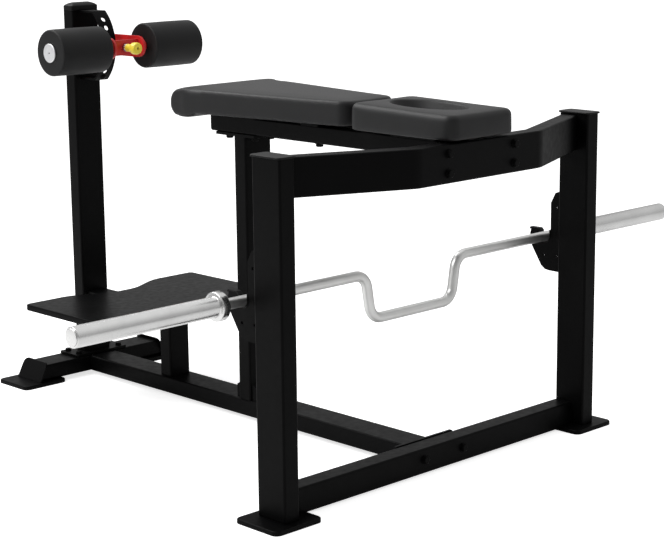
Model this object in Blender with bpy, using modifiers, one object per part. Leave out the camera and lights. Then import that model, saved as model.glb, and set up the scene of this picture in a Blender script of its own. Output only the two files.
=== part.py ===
"""Rear deltoid machine: a prone bench with a racked cambered bar and a swinging foot roller arm.

X runs across the machine, Y from its front to its back and Z up, all in metres. The sizes are
written from the front face of the uprights, and store() moves every piece to the middle of the base.
"""
import math

import bmesh
import bpy
from mathutils import Matrix, Vector

# Clearances and tube stock
GAP = 0.0003
WALL = 0.003
CORNER = 0.006
CORNER_STEPS = 3
FOOT_THICK = 0.012
BASE_Z = FOOT_THICK + GAP

# Front frame
UPRIGHT_IN = 0.559
UPRIGHT_WIDE = 0.050
UPRIGHT_DEEP = 0.100
UPRIGHT_TOP = 0.913
CAP_OVERHANG = 0.005
CAP_THICK = 0.005
FRONT_FOOT_WIDE = 0.160
FRONT_FOOT_FRONT = -0.028
FRONT_FOOT_REAR = 0.128
CROSS_FRONT = 0.040
CROSS_LOW = 0.005
CROSS_TALL = 0.070
CROSS_BOLT_MIDDLE = 0.012
CROSS_BOLT_X = 0.076
CROSS_BOLT_Z = 0.044
BEAM_FLANGE_HALF = 0.112
BEAM_FLANGE_TOP = 0.077
PLATE_THICK = 0.008
PLATE_CORNER = 0.004
BOLT_HOLE = 0.0063
WELD_STEP = 0.0012

# Bowed beam at the top of the front frame
BOW_LOW = 0.8095
BOW_TALL = 0.100
BOW_DEEP = 0.050
BOW_FRONT = -0.100
BOW_FLAT_HALF = 0.236
BOW_END_FRONT = 0.038
BOW_BEND_RADIUS = 0.075
BOW_BOLT_X = 0.126
BOW_BOLT_ZS = (0.836, 0.886)
END_PLATE_HALF = 0.155
END_PLATE_LOW = 0.816
END_PLATE_TOP = 0.905

# Middle frame
BEAM_HALF = 0.050
BEAM_TALL = 0.050
LONG_BEAM_FRONT = 0.1083
POST_FRONT = 0.754
POST_DEEP = 0.050
SUPPORT_LOW = 0.852
SUPPORT_REAR = 0.905
FLANGE_FRONT = 0.712
FLANGE_REAR = 0.882
FLANGE_BOLT_YS = (0.733, 0.843)
UNDER_BOLT_X = 0.030
LONG_PAD_BOLT_Y = 0.467
GUSSET_THICK = 0.006
GUSSET_INSET = 0.010
GUSSET_TALL = 0.050
GUSSET_LAP = 0.002
GUSSET_FRONT_LONG = 0.034
GUSSET_FRONT_FALL = 0.020
GUSSET_REAR_LONG = 0.015
GUSSET_REAR_FALL = 0.010
# Plates between the beam and the pads, as half width, front and rear
REAR_MOUNT = (0.080, 0.680, 0.795)
FRONT_MOUNT = (0.070, 0.432, 0.502)
FACE_MOUNT = (0.070, 0.000, 0.160)

# Pads
LONG_PAD_FRONT = 0.292
LONG_PAD_LOW = 0.9180
LONG_PAD_TOP = 0.984
LONG_PAD_FRONT_HALF = 0.098
LONG_PAD_REAR_HALF = 0.1765
LONG_PAD_CORNER = 0.034
LONG_PAD_RISE = 0.003
ROLL_Y = 0.8715
ROLL_Z = 0.9464
ROLL_HALF_DEEP = 0.0575
ROLL_HALF_TALL = 0.0428
ROLL_SQUARE = 2.4
ROLL_HALF = 0.1785
ROLL_END = 0.009
FACE_PAD_FRONT = -0.109
FACE_PAD_REAR = 0.265
FACE_PAD_HALF = 0.126
FACE_PAD_CORNER = 0.031
FACE_PAD_LOW = 0.9150
FACE_PAD_TOP = 0.981
PAD_CROWN = 0.004
PAD_DRAW_IN = 0.0015
PAD_EDGE = 0.011
RECESS_Y = 0.085
RECESS_HALF_X = 0.072
RECESS_HALF_Y = 0.130
RECESS_FLOOR = 0.70
RECESS_DEEP = 0.034
RECESS_ROUND = 0.010

# Foot step and the rear of the machine
STEP_HALF = 0.334
STEP_FRONT = 1.073
STEP_TOP = 0.290
STEP_THICK = 0.020
STEP_CORNER = 0.014
STEP_EDGE = 0.004
STEP_REAR = 1.477
STEP_HOLLOW = 0.060
STEP_HOLLOW_START = 0.025
STEP_HOLLOW_END = 0.190
STRAP_WIDE = 0.070
STRAP_FRONT = 1.390
STRAP_DROP = 0.050
STRAP_THICK = 0.006
STEP_POST_FRONT = 1.137
STEP_POST_HALF = 0.039
REAR_BEAM_FRONT = 1.535
REAR_BEAM_DEEP = 0.100
REAR_BEAM_TOP_HALF = 0.226
REAR_BEAM_LOW_HALF = 0.252
REAR_FOOT_IN = 0.160
REAR_FOOT_OUT = 0.319
REAR_FOOT_FRONT = 1.514
REAR_FOOT_REAR = 1.668
END_PLATE_THICK = 0.005
END_PLATE_OVER = 0.012
END_PLATE_PROUD = 0.009
END_PLATE_CORNER = 0.018
REAR_POST_FRONT = 1.560
REAR_POST_TOP = 1.173
# Domed cap of the rear post, as how far each ring is drawn in and how far it has risen
CAP_RINGS = ((0.0, 0.0), (0.0, 0.0125), (0.0012, 0.0143), (0.006, 0.0178), (0.013, 0.0212), (0.021, 0.0236))
REAR_FLANGE_HALF = 0.100
REAR_FLANGE_BOLT_X = 0.080
REAR_FLANGE_BOLT_YS = (1.556, 1.614)
REAR_BOLT_HOLE = 0.0053

# Roller arm
PIVOT_Y = 1.585
PIVOT_Z = 1.0645
ARC_RADIUS = 0.1445
ARC_THICK = 0.006
ARC_WIDE = 0.050
LEG_RISE = 0.1080
HOLE_STEP = 11.67
HOLE_RADIUS = 0.0085
STOP_BOLT_ANGLE = -42.8
CHEEK_IN = 0.0515
CHEEK_THICK = 0.008
CHEEK_RADIUS = 0.033
CHEEK_FRONT_Y = 1.3670
WEB_HALF = 0.0236
WEB_THICK = 0.008
WEB_Y = 1.366
ROLLER_Y = 1.3774
ROLLER_RADIUS = 0.0695
ROLLER_IN = 0.0835
ROLLER_OUT = 0.2695
ROLLER_EDGE = 0.006
ROLLER_CAP_RADIUS = 0.0285
ROLLER_CAP_THICK = 0.0045
ROLLER_CAP_EDGE = 0.002
AXLE_OVER = 0.0006
AXLE_RADIUS = 0.0125
AXLE_BORE = 0.01259
AXLE_SHOULDER = 0.018
PLUNGER_RADIUS = 0.0075
BARREL_LONG = 0.012
BARREL_RADIUS = 0.0120
KNOB_FRONT = 1.297
KNOB_NECK = 0.0118
KNOB_BORE = 0.0043
KNOB_HOLLOW = 0.006

# Racked bar
BAR_X = 0.0149
BAR_Y = 0.1613
BAR_Z = 0.5461
BAR_RADIUS = 0.0143
BAR_HALF = 1.1248
BAR_UPPER_BEND = 0.1775
BAR_LOWER_BEND = 0.1565
BAR_DROP = 0.1238
BAR_BEND_RADIUS = 0.043
SLEEVE_RADIUS = 0.0257
SLEEVE_START = 0.6755
COLLAR_THICK = 0.023
COLLAR_RADIUS = 0.037
SLEEVE_BORE = 0.0145

# Bar rests
HOOK_X = 0.584
HOOK_THICK = 0.010
HOOK_TOP = 0.681
LINER_THICK = 0.0035
LINER_WIDE = 0.014

# Bolts, and the middle of everything the machine covers on the floor
BOLT_DISC = 0.002
BOLT_HEAD = 0.008
BOLT_STUB = 0.004
MIDDLE = (BAR_X, (BOW_FRONT - GAP - BOLT_DISC - BOLT_HEAD + REAR_FOOT_REAR) / 2, 0.0)
MACHINE = "rear deltoid machine"


def clear_scene():
    """Remove every object that the file opened with."""
    for item in list(bpy.data.objects):
        bpy.data.objects.remove(item, do_unlink=True)


def paint(name, colour, roughness, metallic):
    """A plain material for one piece."""
    skin = bpy.data.materials.new(name)
    skin.use_nodes = True
    shader = skin.node_tree.nodes["Principled BSDF"]
    shader.inputs["Base Color"].default_value = (*colour, 1.0)
    shader.inputs["Roughness"].default_value = roughness
    shader.inputs["Metallic"].default_value = metallic
    return skin


def black_paint(name):
    """Satin black paint on steel."""
    return paint(name, (0.012, 0.012, 0.013), 0.42, 0.3)


def red_paint(name):
    """Red paint on steel."""
    return paint(name, (0.42, 0.012, 0.02), 0.35, 0.3)


def dark_steel(name):
    """Blackened steel fasteners."""
    return paint(name, (0.03, 0.03, 0.032), 0.4, 0.9)


def chrome(name):
    """Satin chromed steel."""
    return paint(name, (0.75, 0.75, 0.74), 0.25, 1.0)


def black_plastic(name):
    """Black moulded plastic."""
    return paint(name, (0.01, 0.01, 0.01), 0.5, 0.0)


def upholstery(name):
    """Black grained vinyl."""
    return paint(name, (0.05, 0.05, 0.052), 0.6, 0.0)


def store(name, bm, skin, smooth=False, origin=(0.0, 0.0, 0.0)):
    """Make the finished object for one node, its origin on the given point."""
    bmesh.ops.remove_doubles(bm, verts=bm.verts, dist=1e-6)
    bmesh.ops.recalc_face_normals(bm, faces=bm.faces)
    spot = Vector(origin)
    bmesh.ops.translate(bm, verts=bm.verts, vec=-spot)
    for face in bm.faces:
        face.smooth = smooth
    mesh = bpy.data.meshes.new(name)
    bm.to_mesh(mesh)
    bm.free()
    mesh.materials.append(skin)
    item = bpy.data.objects.new(name, mesh)
    item.location = spot - Vector(MIDDLE)
    bpy.data.collections[MACHINE].objects.link(item)
    return item


def lay(plane, spot):
    """Matrix that lays a drawing or a turned shape in the machine."""
    columns = {
        "plan": ((1, 0, 0), (0, 1, 0), (0, 0, 1)),
        "front": ((1, 0, 0), (0, 0, 1), (0, -1, 0)),
        "side": ((0, 1, 0), (0, 0, 1), (1, 0, 0)),
        "side_left": ((0, -1, 0), (0, 0, 1), (-1, 0, 0)),
        "back": ((-1, 0, 0), (0, 0, 1), (0, 1, 0)),
        "under": ((1, 0, 0), (0, -1, 0), (0, 0, -1)),
    }[plane]
    turn = Matrix(columns).transposed().to_4x4()
    return Matrix.Translation(Vector(spot)) @ turn


def evaluated(item, keep=False):
    """The finished mesh of a temporary object, as a bmesh; the object goes unless it is kept."""
    bpy.context.view_layer.update()
    depsgraph = bpy.context.evaluated_depsgraph_get()
    mesh = bpy.data.meshes.new_from_object(item.evaluated_get(depsgraph))
    bm = bmesh.new()
    bm.from_mesh(mesh)
    bpy.data.meshes.remove(mesh)
    if not keep:
        bpy.data.objects.remove(item, do_unlink=True)
    return bm


def temporary(bm, name="work"):
    """Link a bmesh into the scene for one modifier."""
    mesh = bpy.data.meshes.new(name)
    bm.to_mesh(mesh)
    bm.free()
    item = bpy.data.objects.new(name, mesh)
    bpy.context.scene.collection.objects.link(item)
    return item


def combine(body, tool, operation):
    """Boolean of two closed shapes; the second solver only steps in where the first leaves an open edge."""
    bmesh.ops.recalc_face_normals(body, faces=body.faces)
    bmesh.ops.recalc_face_normals(tool, faces=tool.faces)
    target, cutter = temporary(body), temporary(tool, "cutter")
    modifier = target.modifiers.new("cut", "BOOLEAN")
    modifier.operation = operation
    modifier.object = cutter
    for solver in ("EXACT", "MANIFOLD"):
        modifier.solver = solver
        result = evaluated(target, keep=True)
        if all(len(edge.link_faces) == 2 for edge in result.edges):
            break
    bpy.data.objects.remove(target, do_unlink=True)
    bpy.data.objects.remove(cutter, do_unlink=True)
    return result


def fillet(points, radii, steps=CORNER_STEPS):
    """Round the corners of a closed outline; a radius of 0 keeps a corner sharp."""
    rounded = []
    for index, (point, radius) in enumerate(zip(points, radii)):
        corner = Vector(point)
        if radius <= 0:
            rounded.append(tuple(corner))
            continue
        before = (Vector(points[index - 1]) - corner).normalized()
        after = (Vector(points[(index + 1) % len(points)]) - corner).normalized()
        half = before.angle(after) / 2
        centre = corner + (before + after).normalized() * (radius / math.sin(half))
        start = corner + before * (radius / math.tan(half)) - centre
        finish = corner + after * (radius / math.tan(half)) - centre
        first = math.atan2(start.y, start.x)
        sweep = math.atan2(finish.y, finish.x) - first
        sweep = (sweep + math.pi) % (2 * math.pi) - math.pi
        for step in range(steps + 1):
            angle = first + sweep * step / steps
            rounded.append((centre.x + radius * math.cos(angle), centre.y + radius * math.sin(angle)))
    return rounded


def rectangle(low_u, low_v, high_u, high_v, radius=0.0, steps=CORNER_STEPS):
    """Outline of a rectangle with rounded corners."""
    corners = [(low_u, low_v), (high_u, low_v), (high_u, high_v), (low_u, high_v)]
    return fillet(corners, [radius] * 4, steps)


def circle(centre_u, centre_v, radius, count=24):
    """Outline of a circle."""
    turns = [2 * math.pi * step / count for step in range(count)]
    return [(centre_u + radius * math.cos(turn), centre_v + radius * math.sin(turn)) for turn in turns]


def superellipse(half_u, half_v, power, count):
    """Outline of an oval whose sides are a little flattened."""
    points = []
    for step in range(count):
        turn = 2 * math.pi * step / count
        u, v = math.cos(turn), math.sin(turn)
        reach = (abs(u) ** power + abs(v) ** power) ** (-1 / power)
        points.append((half_u * u * reach, half_v * v * reach))
    return points


def arc(centre, radius, first, last, steps):
    """Points along an arc, angles in degrees."""
    turns = [math.radians(first + (last - first) * step / steps) for step in range(steps + 1)]
    return [(centre[0] + radius * math.cos(turn), centre[1] + radius * math.sin(turn)) for turn in turns]


def sheet(outlines, thickness, frame):
    """A flat shape drawn as outlines, the first one outside and the others holes, then extruded."""
    drawing = bpy.data.curves.new("drawing", "CURVE")
    drawing.dimensions = "2D"
    drawing.fill_mode = "BOTH"
    drawing.extrude = thickness / 2
    for points in outlines:
        spline = drawing.splines.new("POLY")
        spline.points.add(len(points) - 1)
        for knot, (u, v) in zip(spline.points, points):
            knot.co = (u, v, 0.0, 1.0)
        spline.use_cyclic_u = True
    item = bpy.data.objects.new("drawing", drawing)
    bpy.context.scene.collection.objects.link(item)
    bm = evaluated(item)
    bpy.data.curves.remove(drawing)
    bmesh.ops.remove_doubles(bm, verts=bm.verts, dist=1e-6)
    bmesh.ops.transform(bm, matrix=frame, verts=bm.verts)
    bmesh.ops.recalc_face_normals(bm, faces=bm.faces)
    return bm


def tube(wide, tall, length, frame, corner=CORNER):
    """A hollow rectangular tube with open ends, centred on the frame's origin."""
    outside = rectangle(-wide / 2, -tall / 2, wide / 2, tall / 2, corner)
    inner = max(corner - WALL, 0.002)
    inside = rectangle(WALL - wide / 2, WALL - tall / 2, wide / 2 - WALL, tall / 2 - WALL, inner, 2)
    return sheet([outside, inside], length, frame)


def block(low, high):
    """A plain box between two corners."""
    bm = bmesh.new()
    bmesh.ops.create_cube(bm, size=1.0)
    low, high = Vector(low), Vector(high)
    bmesh.ops.scale(bm, vec=high - low, verts=bm.verts)
    bmesh.ops.translate(bm, vec=(low + high) / 2, verts=bm.verts)
    return bm


def rod(start, end, radius, sides=16):
    """A plain round rod between two points, used as a cutter."""
    start, end = Vector(start), Vector(end)
    bm = bmesh.new()
    span = end - start
    turn = Vector((0, 0, 1)).rotation_difference(span.normalized()).to_matrix().to_4x4()
    frame = Matrix.Translation((start + end) / 2) @ turn
    bmesh.ops.create_cone(bm, cap_ends=True, segments=sides, radius1=radius, radius2=radius,
                          depth=span.length, matrix=frame)
    return bm


def merged(shapes):
    """Several separate shapes in one bmesh."""
    whole = bmesh.new()
    for shape in shapes:
        mesh = bpy.data.meshes.new("share")
        shape.to_mesh(mesh)
        shape.free()
        whole.from_mesh(mesh)
        bpy.data.meshes.remove(mesh)
    return whole


def drill(body, holes, radius, sides=16):
    """Cut round holes, each given by its two end points."""
    return combine(body, merged([rod(start, end, radius, sides) for start, end in holes]), "DIFFERENCE")


def soften(bm, width, segments, chosen):
    """Bevel the sharp edges that a test picks."""
    bmesh.ops.dissolve_limit(bm, angle_limit=0.001, verts=bm.verts, edges=bm.edges)
    edges = [edge for edge in bm.edges if len(edge.link_faces) == 2
             and edge.calc_face_angle(0.0) > math.radians(40) and chosen(edge)]
    bmesh.ops.bevel(bm, geom=edges, offset=width, segments=segments, profile=0.5, affect="EDGES",
                    material=-1, clamp_overlap=True)
    return bm


def turned(profile, frame, steps=32, ring=False):
    """A turned piece: its profile runs from top to bottom, radius first, and spins about local Z."""
    mesh = bpy.data.meshes.new("profile")
    joins = [(index, index + 1) for index in range(len(profile) - 1)]
    if ring:
        joins.append((len(profile) - 1, 0))
    mesh.from_pydata([(radius, 0.0, height) for radius, height in profile], joins, [])
    item = bpy.data.objects.new("profile", mesh)
    bpy.context.scene.collection.objects.link(item)
    modifier = item.modifiers.new("spin", "SCREW")
    modifier.axis = "Z"
    modifier.angle = 2 * math.pi
    modifier.steps = modifier.render_steps = steps
    modifier.use_merge_vertices = True
    modifier.merge_threshold = 0.00001
    bm = evaluated(item)
    bmesh.ops.remove_doubles(bm, verts=bm.verts, dist=1e-6)
    bmesh.ops.dissolve_degenerate(bm, dist=1e-7, edges=bm.edges)
    bmesh.ops.transform(bm, matrix=frame, verts=bm.verts)
    bmesh.ops.recalc_face_normals(bm, faces=bm.faces)
    return bm


def round_edge(radius, height, edge, steps, downwards):
    """Profile points round a turned outer edge."""
    turns = [math.pi / 2 * step / steps for step in range(steps + 1)]
    core = radius - edge
    if downwards:
        return [(core + edge * math.cos(turn), height + edge - edge * math.sin(turn)) for turn in turns]
    return [(core + edge * math.sin(turn), height - edge + edge * math.cos(turn)) for turn in turns]


def bolt(frame, grip, shank=0.006, flats=0.0095, head=BOLT_HEAD, washer=0.0125, nut=True):
    """A hexagon bolt with its washer, and a nut and washer at the far end of its grip.

    The frame's origin is on the surface under the head, and local Z leads out of the head.
    """
    disc = BOLT_DISC
    top = GAP + disc + head
    profile = [(0.0, top), (flats * 0.86, top), (flats, top - 0.0016), (flats, GAP + disc),
               (washer, GAP + disc), (washer, GAP), (shank, GAP)]
    if nut:
        low = -grip - GAP
        end = low - disc - head
        profile += [(shank, low), (washer, low), (washer, low - disc), (flats, low - disc), (flats, end),
                    (shank, end), (shank, end - BOLT_STUB), (0.0, end - BOLT_STUB)]
    else:
        profile += [(shank, -grip), (0.0, -grip)]
    bm = turned(profile, Matrix.Identity(4), 12)
    for vertex in bm.verts:
        radius = math.hypot(vertex.co.x, vertex.co.y)
        if abs(radius - flats) < 1e-5:
            angle = math.atan2(vertex.co.y, vertex.co.x) % (math.pi / 3) - math.pi / 6
            grow = 1.0 / math.cos(angle)
            vertex.co.x *= grow
            vertex.co.y *= grow
    bmesh.ops.transform(bm, matrix=frame, verts=bm.verts)
    return bm


def level_edges(height):
    """Test for edges that lie at one height."""
    return lambda edge: all(abs(vertex.co.z - height) < 1e-5 for vertex in edge.verts)


def sides():
    """The two sides of the machine, as a name and a sign on X."""
    return (("left", -1), ("right", 1))


def make_uprights():
    """Uprights with their plastic caps and foot plates."""
    middle_x = UPRIGHT_IN + UPRIGHT_WIDE / 2
    middle_y = UPRIGHT_DEEP / 2
    length = UPRIGHT_TOP - BASE_Z
    for side, sign in sides():
        post = tube(UPRIGHT_WIDE, UPRIGHT_DEEP, length,
                    lay("plan", (sign * middle_x, middle_y, BASE_Z + length / 2)))
        store(f"upright_{side}", post, black_paint(f"upright_{side}"))
        make_cap(f"upright_cap_{side}", (sign * middle_x, middle_y), (UPRIGHT_WIDE, UPRIGHT_DEEP),
                 UPRIGHT_TOP + GAP, CAP_THICK, CAP_OVERHANG, 0.002)
        half = FRONT_FOOT_WIDE / 2
        make_foot(f"front_foot_{side}", (sign * middle_x - half, FRONT_FOOT_FRONT),
                  (sign * middle_x + half, FRONT_FOOT_REAR))


def make_cap(name, centre, section, low, thick, overhang, edge):
    """A plastic end cap: a plate over the tube's end and a plug inside it."""
    half_u, half_v = section[0] / 2 + overhang, section[1] / 2 + overhang
    plate = sheet([rectangle(-half_u, -half_v, half_u, half_v, CORNER + overhang)], thick,
                  lay("plan", (centre[0], centre[1], low + thick / 2)))
    plate = soften(plate, edge, 2, level_edges(low + thick))
    plug_u, plug_v = section[0] / 2 - WALL - GAP, section[1] / 2 - WALL - GAP
    plug = block((centre[0] - plug_u + 0.002, centre[1] - plug_v + 0.002, low - 0.015),
                 (centre[0] + plug_u - 0.002, centre[1] + plug_v - 0.002, low + thick / 2))
    store(name, combine(plate, plug, "UNION"), black_plastic(name))


def make_foot(name, low, high):
    """A flat foot plate on the floor."""
    plate = sheet([rectangle(*low, *high, 0.018, 5)], FOOT_THICK, lay("plan", (0, 0, FOOT_THICK / 2)))
    store(name, soften(plate, 0.002, 1, level_edges(FOOT_THICK)), black_paint(name))


def make_crossbeam():
    """Floor crossbeam between the uprights, and the two bolts that hold the long beam to it."""
    deep = UPRIGHT_DEEP - CROSS_FRONT
    middle = (0.0, CROSS_FRONT + deep / 2, CROSS_LOW + CROSS_TALL / 2)
    beam = tube(deep, CROSS_TALL, 2 * (UPRIGHT_IN - GAP), lay("side", middle))
    foot_in = UPRIGHT_IN + UPRIGHT_WIDE / 2 - FRONT_FOOT_WIDE / 2 - GAP
    notches = merged([block((min(a, b), 0.0, 0.0), (max(a, b), 0.15, BASE_Z))
                      for a, b in ((-0.6, -foot_in), (foot_in, 0.6))])
    beam = combine(beam, notches, "DIFFERENCE")
    store("floor_crossbeam", drill(beam, crossbeam_holes(), BOLT_HOLE), black_paint("floor_crossbeam"))
    grip = LONG_BEAM_FRONT - GAP - CROSS_FRONT
    for side, sign in sides():
        name = f"crossbeam_bolt_{side}"
        frame = lay("front", (CROSS_BOLT_MIDDLE + sign * CROSS_BOLT_X, CROSS_FRONT, CROSS_BOLT_Z))
        store(name, bolt(frame, grip), dark_steel(name))


def bow_outline(inset):
    """Plan outline of the bowed beam, drawn in by the inset all round its long sides."""
    slope = math.atan2(BOW_END_FRONT - BOW_FRONT, UPRIGHT_IN - BOW_FLAT_HALF)
    end = UPRIGHT_IN - GAP + (0.05 if inset else 0.0)
    lines = []
    faces = ((inset, BOW_BEND_RADIUS - inset), (BOW_DEEP - inset, BOW_BEND_RADIUS - BOW_DEEP + inset))
    for depth, radius in faces:
        knee = BOW_FLAT_HALF - depth * math.tan(slope / 2)
        flat = BOW_FRONT + depth
        tip = flat + (end - knee) * math.tan(slope)
        lines.append(([(-end, tip), (-knee, flat), (knee, flat), (end, tip)], [0, radius, radius, 0]))
    (front, front_radii), (rear, rear_radii) = lines
    return fillet(front + rear[::-1], front_radii + rear_radii[::-1], 5)


def make_bow():
    """Bowed top beam and the four bolts that hold the pad support to it."""
    height = BOW_LOW + BOW_TALL / 2
    outside = sheet([bow_outline(0.0)], BOW_TALL, lay("plan", (0, 0, height)))
    limit = UPRIGHT_IN - 2 * GAP
    low_edges, top_edges = level_edges(BOW_LOW), level_edges(BOW_LOW + BOW_TALL)
    outside = soften(outside, CORNER, 3, lambda edge: (low_edges(edge) or top_edges(edge))
                     and not all(abs(vertex.co.x) > limit for vertex in edge.verts))
    inside = sheet([bow_outline(WALL)], BOW_TALL - 2 * WALL, lay("plan", (0, 0, height)))
    beam = combine(outside, inside, "DIFFERENCE")
    store("bow_beam", drill(beam, bow_holes(), BOLT_HOLE), black_paint("bow_beam"))
    grip = BOW_DEEP + GAP + PLATE_THICK
    for level, z in zip(("low", "high"), BOW_BOLT_ZS):
        for side, sign in sides():
            name = f"bow_bolt_{level}_{side}"
            store(name, bolt(lay("front", (sign * BOW_BOLT_X, BOW_FRONT, z)), grip), dark_steel(name))


def under_holes(spots):
    """Upright drill lines through the pad support."""
    return [((x, y, 0.80), (x, y, 0.93)) for x, y in spots]


def make_pad_support():
    """Welded pad support, its mounting plates and the bolts that come up from below."""
    start = BOW_FRONT + BOW_DEEP + GAP
    top = SUPPORT_LOW + BEAM_TALL
    lap = PLATE_THICK / 2
    beam = tube(2 * BEAM_HALF, BEAM_TALL, SUPPORT_REAR - start - 2 * lap,
                lay("front", (0, (start + SUPPORT_REAR) / 2, SUPPORT_LOW + BEAM_TALL / 2)))
    outline = rectangle(-END_PLATE_HALF, END_PLATE_LOW, END_PLATE_HALF, END_PLATE_TOP, PLATE_CORNER)
    front_plate = sheet([outline], PLATE_THICK, lay("front", (0.0, start + PLATE_THICK / 2, 0.0)))
    edge = BEAM_HALF - WELD_STEP
    outline = rectangle(-edge, SUPPORT_LOW + WELD_STEP, edge, top - WELD_STEP, CORNER)
    rear_plate = sheet([outline], PLATE_THICK, lay("front", (0, SUPPORT_REAR - PLATE_THICK / 2, 0)))
    beam = combine(combine(beam, front_plate, "UNION"), rear_plate, "UNION")
    flange_spots = [(sign * UNDER_BOLT_X, y) for y in FLANGE_BOLT_YS for sign in (-1, 1)]
    pad_spots = [(sign * UNDER_BOLT_X, LONG_PAD_BOLT_Y) for sign in (-1, 1)]
    beam = drill(beam, under_holes(flange_spots + pad_spots), BOLT_HOLE)
    store("support_beam", drill(beam, bow_holes(), BOLT_HOLE), black_paint("support_beam"))
    plates = (("long_pad_rear_mount", REAR_MOUNT, LONG_PAD_LOW, flange_spots[:2]),
              ("long_pad_front_mount", FRONT_MOUNT, LONG_PAD_LOW, pad_spots),
              ("face_pad_mount", FACE_MOUNT, FACE_PAD_LOW, None))
    for name, (half, front, rear), high, spots in plates:
        thick = high - 2 * GAP - top
        plate = sheet([rectangle(-half, front, half, rear, PLATE_CORNER)], thick,
                      lay("plan", (0, 0, top + GAP + thick / 2)))
        if spots:
            plate = drill(plate, under_holes(spots), BOLT_HOLE)
        store(name, plate, black_paint(name))
    flange_low = SUPPORT_LOW - GAP - PLATE_THICK
    reach = LONG_PAD_LOW - 0.001
    for row, y, tip in zip(("front", "rear"), FLANGE_BOLT_YS, (reach, top + 0.002)):
        for side, sign in sides():
            name = f"flange_bolt_{row}_{side}"
            shape = bolt(lay("under", (sign * UNDER_BOLT_X, y, flange_low)), tip - flange_low, nut=False)
            store(name, shape, dark_steel(name))
    for side, sign in sides():
        name = f"pad_bolt_{side}"
        frame = lay("under", (sign * UNDER_BOLT_X, LONG_PAD_BOLT_Y, SUPPORT_LOW))
        store(name, bolt(frame, reach - SUPPORT_LOW, nut=False), dark_steel(name))
    return flange_low, flange_spots


def make_middle_frame(flange_low, flange_spots):
    """Long floor beam with its end flange, and the centre post with its top flange and gussets."""
    rear = REAR_BEAM_FRONT - GAP
    flange_front = UPRIGHT_DEEP + GAP
    start = flange_front + PLATE_THICK / 2
    beam = tube(2 * BEAM_HALF, BEAM_TALL, rear - start,
                lay("front", (0, (start + rear) / 2, BASE_Z + BEAM_TALL / 2)))
    outline = rectangle(-BEAM_FLANGE_HALF, CROSS_LOW, BEAM_FLANGE_HALF, BEAM_FLANGE_TOP, PLATE_CORNER)
    flange = sheet([outline], LONG_BEAM_FRONT - flange_front,
                   lay("front", (0.0, (flange_front + LONG_BEAM_FRONT) / 2, 0.0)))
    beam = combine(beam, flange, "UNION")
    store("long_beam", drill(beam, crossbeam_holes(), BOLT_HOLE), black_paint("long_beam"))
    low = BASE_Z + BEAM_TALL + GAP
    high = flange_low + PLATE_THICK / 2
    post = tube(2 * BEAM_HALF, POST_DEEP, high - low,
                lay("plan", (0, POST_FRONT + POST_DEEP / 2, (low + high) / 2)))
    half = BEAM_HALF + WELD_STEP
    flange = sheet([rectangle(-half, FLANGE_FRONT, half, FLANGE_REAR, PLATE_CORNER)], PLATE_THICK,
                   lay("plan", (0, 0, flange_low + PLATE_THICK / 2)))
    post = combine(post, drill(flange, under_holes(flange_spots), BOLT_HOLE), "UNION")
    foot, crest = low + WELD_STEP / 2, low + GUSSET_TALL
    front_face, rear_face = POST_FRONT, POST_FRONT + POST_DEEP
    gussets = ((front_face - GUSSET_FRONT_LONG, front_face + GUSSET_LAP, GUSSET_FRONT_FALL),
               (rear_face + GUSSET_REAR_LONG, rear_face - GUSSET_LAP, GUSSET_REAR_FALL))
    for sign in (-1, 1):
        for tip, root, fall in gussets:
            outline = [(tip, foot), (root, foot), (root, crest), (tip, crest - fall)]
            frame = lay("side", (sign * (BEAM_HALF - GUSSET_INSET), 0, 0))
            post = combine(post, sheet([outline], GUSSET_THICK, frame), "UNION")
    store("centre_post", post, black_paint("centre_post"))


def trapezoid(front, rear, front_half, rear_half, inset, radii, per_side, draw):
    """Pad outline: rounded corners, and sides that draw in a little between them."""
    corners = [(-front_half + inset, front + inset), (front_half - inset, front + inset),
               (rear_half - inset, rear - inset), (-rear_half + inset, rear - inset)]
    rounded = fillet(corners, [max(radius - inset, 0.004) for radius in radii], 4)
    middle = Vector((0.0, (front + rear) / 2))
    loop = []
    for index in range(4):
        corner = rounded[index * 5:index * 5 + 5]
        loop += corner
        start, finish = Vector(corner[-1]), Vector(rounded[(index * 5 + 5) % 20])
        across = (finish - start).orthogonal().normalized()
        if across.dot(middle - start) < 0:
            across = -across
        for step in range(1, per_side):
            share = step / per_side
            pull = draw * (1 - (2 * share - 1) ** 2)
            loop.append(tuple(start.lerp(finish, share) + across * pull))
    return loop


def cushion(front, rear, front_half, rear_half, low, high, radii, crown, edge, draw):
    """A closed cushion: rounded edges, drawn-in sides and a crowned top over a flat base."""
    levels = [(edge * 0.45, low, 0.0), (0.0, low + edge * 0.45, 0.0)]
    for share in (0.35, 0.65):
        levels.append((0.0, low + (high - low) * share, draw * 0.9))
    for step in range(4):
        turn = math.pi / 2 * step / 3
        inset, height = edge * (1 - math.cos(turn)), high - edge + edge * math.sin(turn)
        levels.append((inset, height, draw * 0.3 * (1 - step / 3)))
    for depth in (0.030, 0.055):
        rise = crown * math.sin(math.pi / 2 * depth / 0.055)
        levels.append((depth, high + rise, 0.0))
    bm = bmesh.new()
    rings = []
    for inset, height, pull in levels:
        outline = trapezoid(front, rear, front_half, rear_half, inset, radii, 6, pull)
        verts = [bm.verts.new((x, y, height)) for x, y in outline]
        rings.append([bm.edges.new((verts[i - 1], verts[i])) for i in range(len(verts))])
    for lower, upper in zip(rings, rings[1:]):
        bmesh.ops.bridge_loops(bm, edges=lower + upper)
    bmesh.ops.holes_fill(bm, edges=rings[0] + rings[-1], sides=0)
    bmesh.ops.recalc_face_normals(bm, faces=bm.faces)
    return bm


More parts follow.
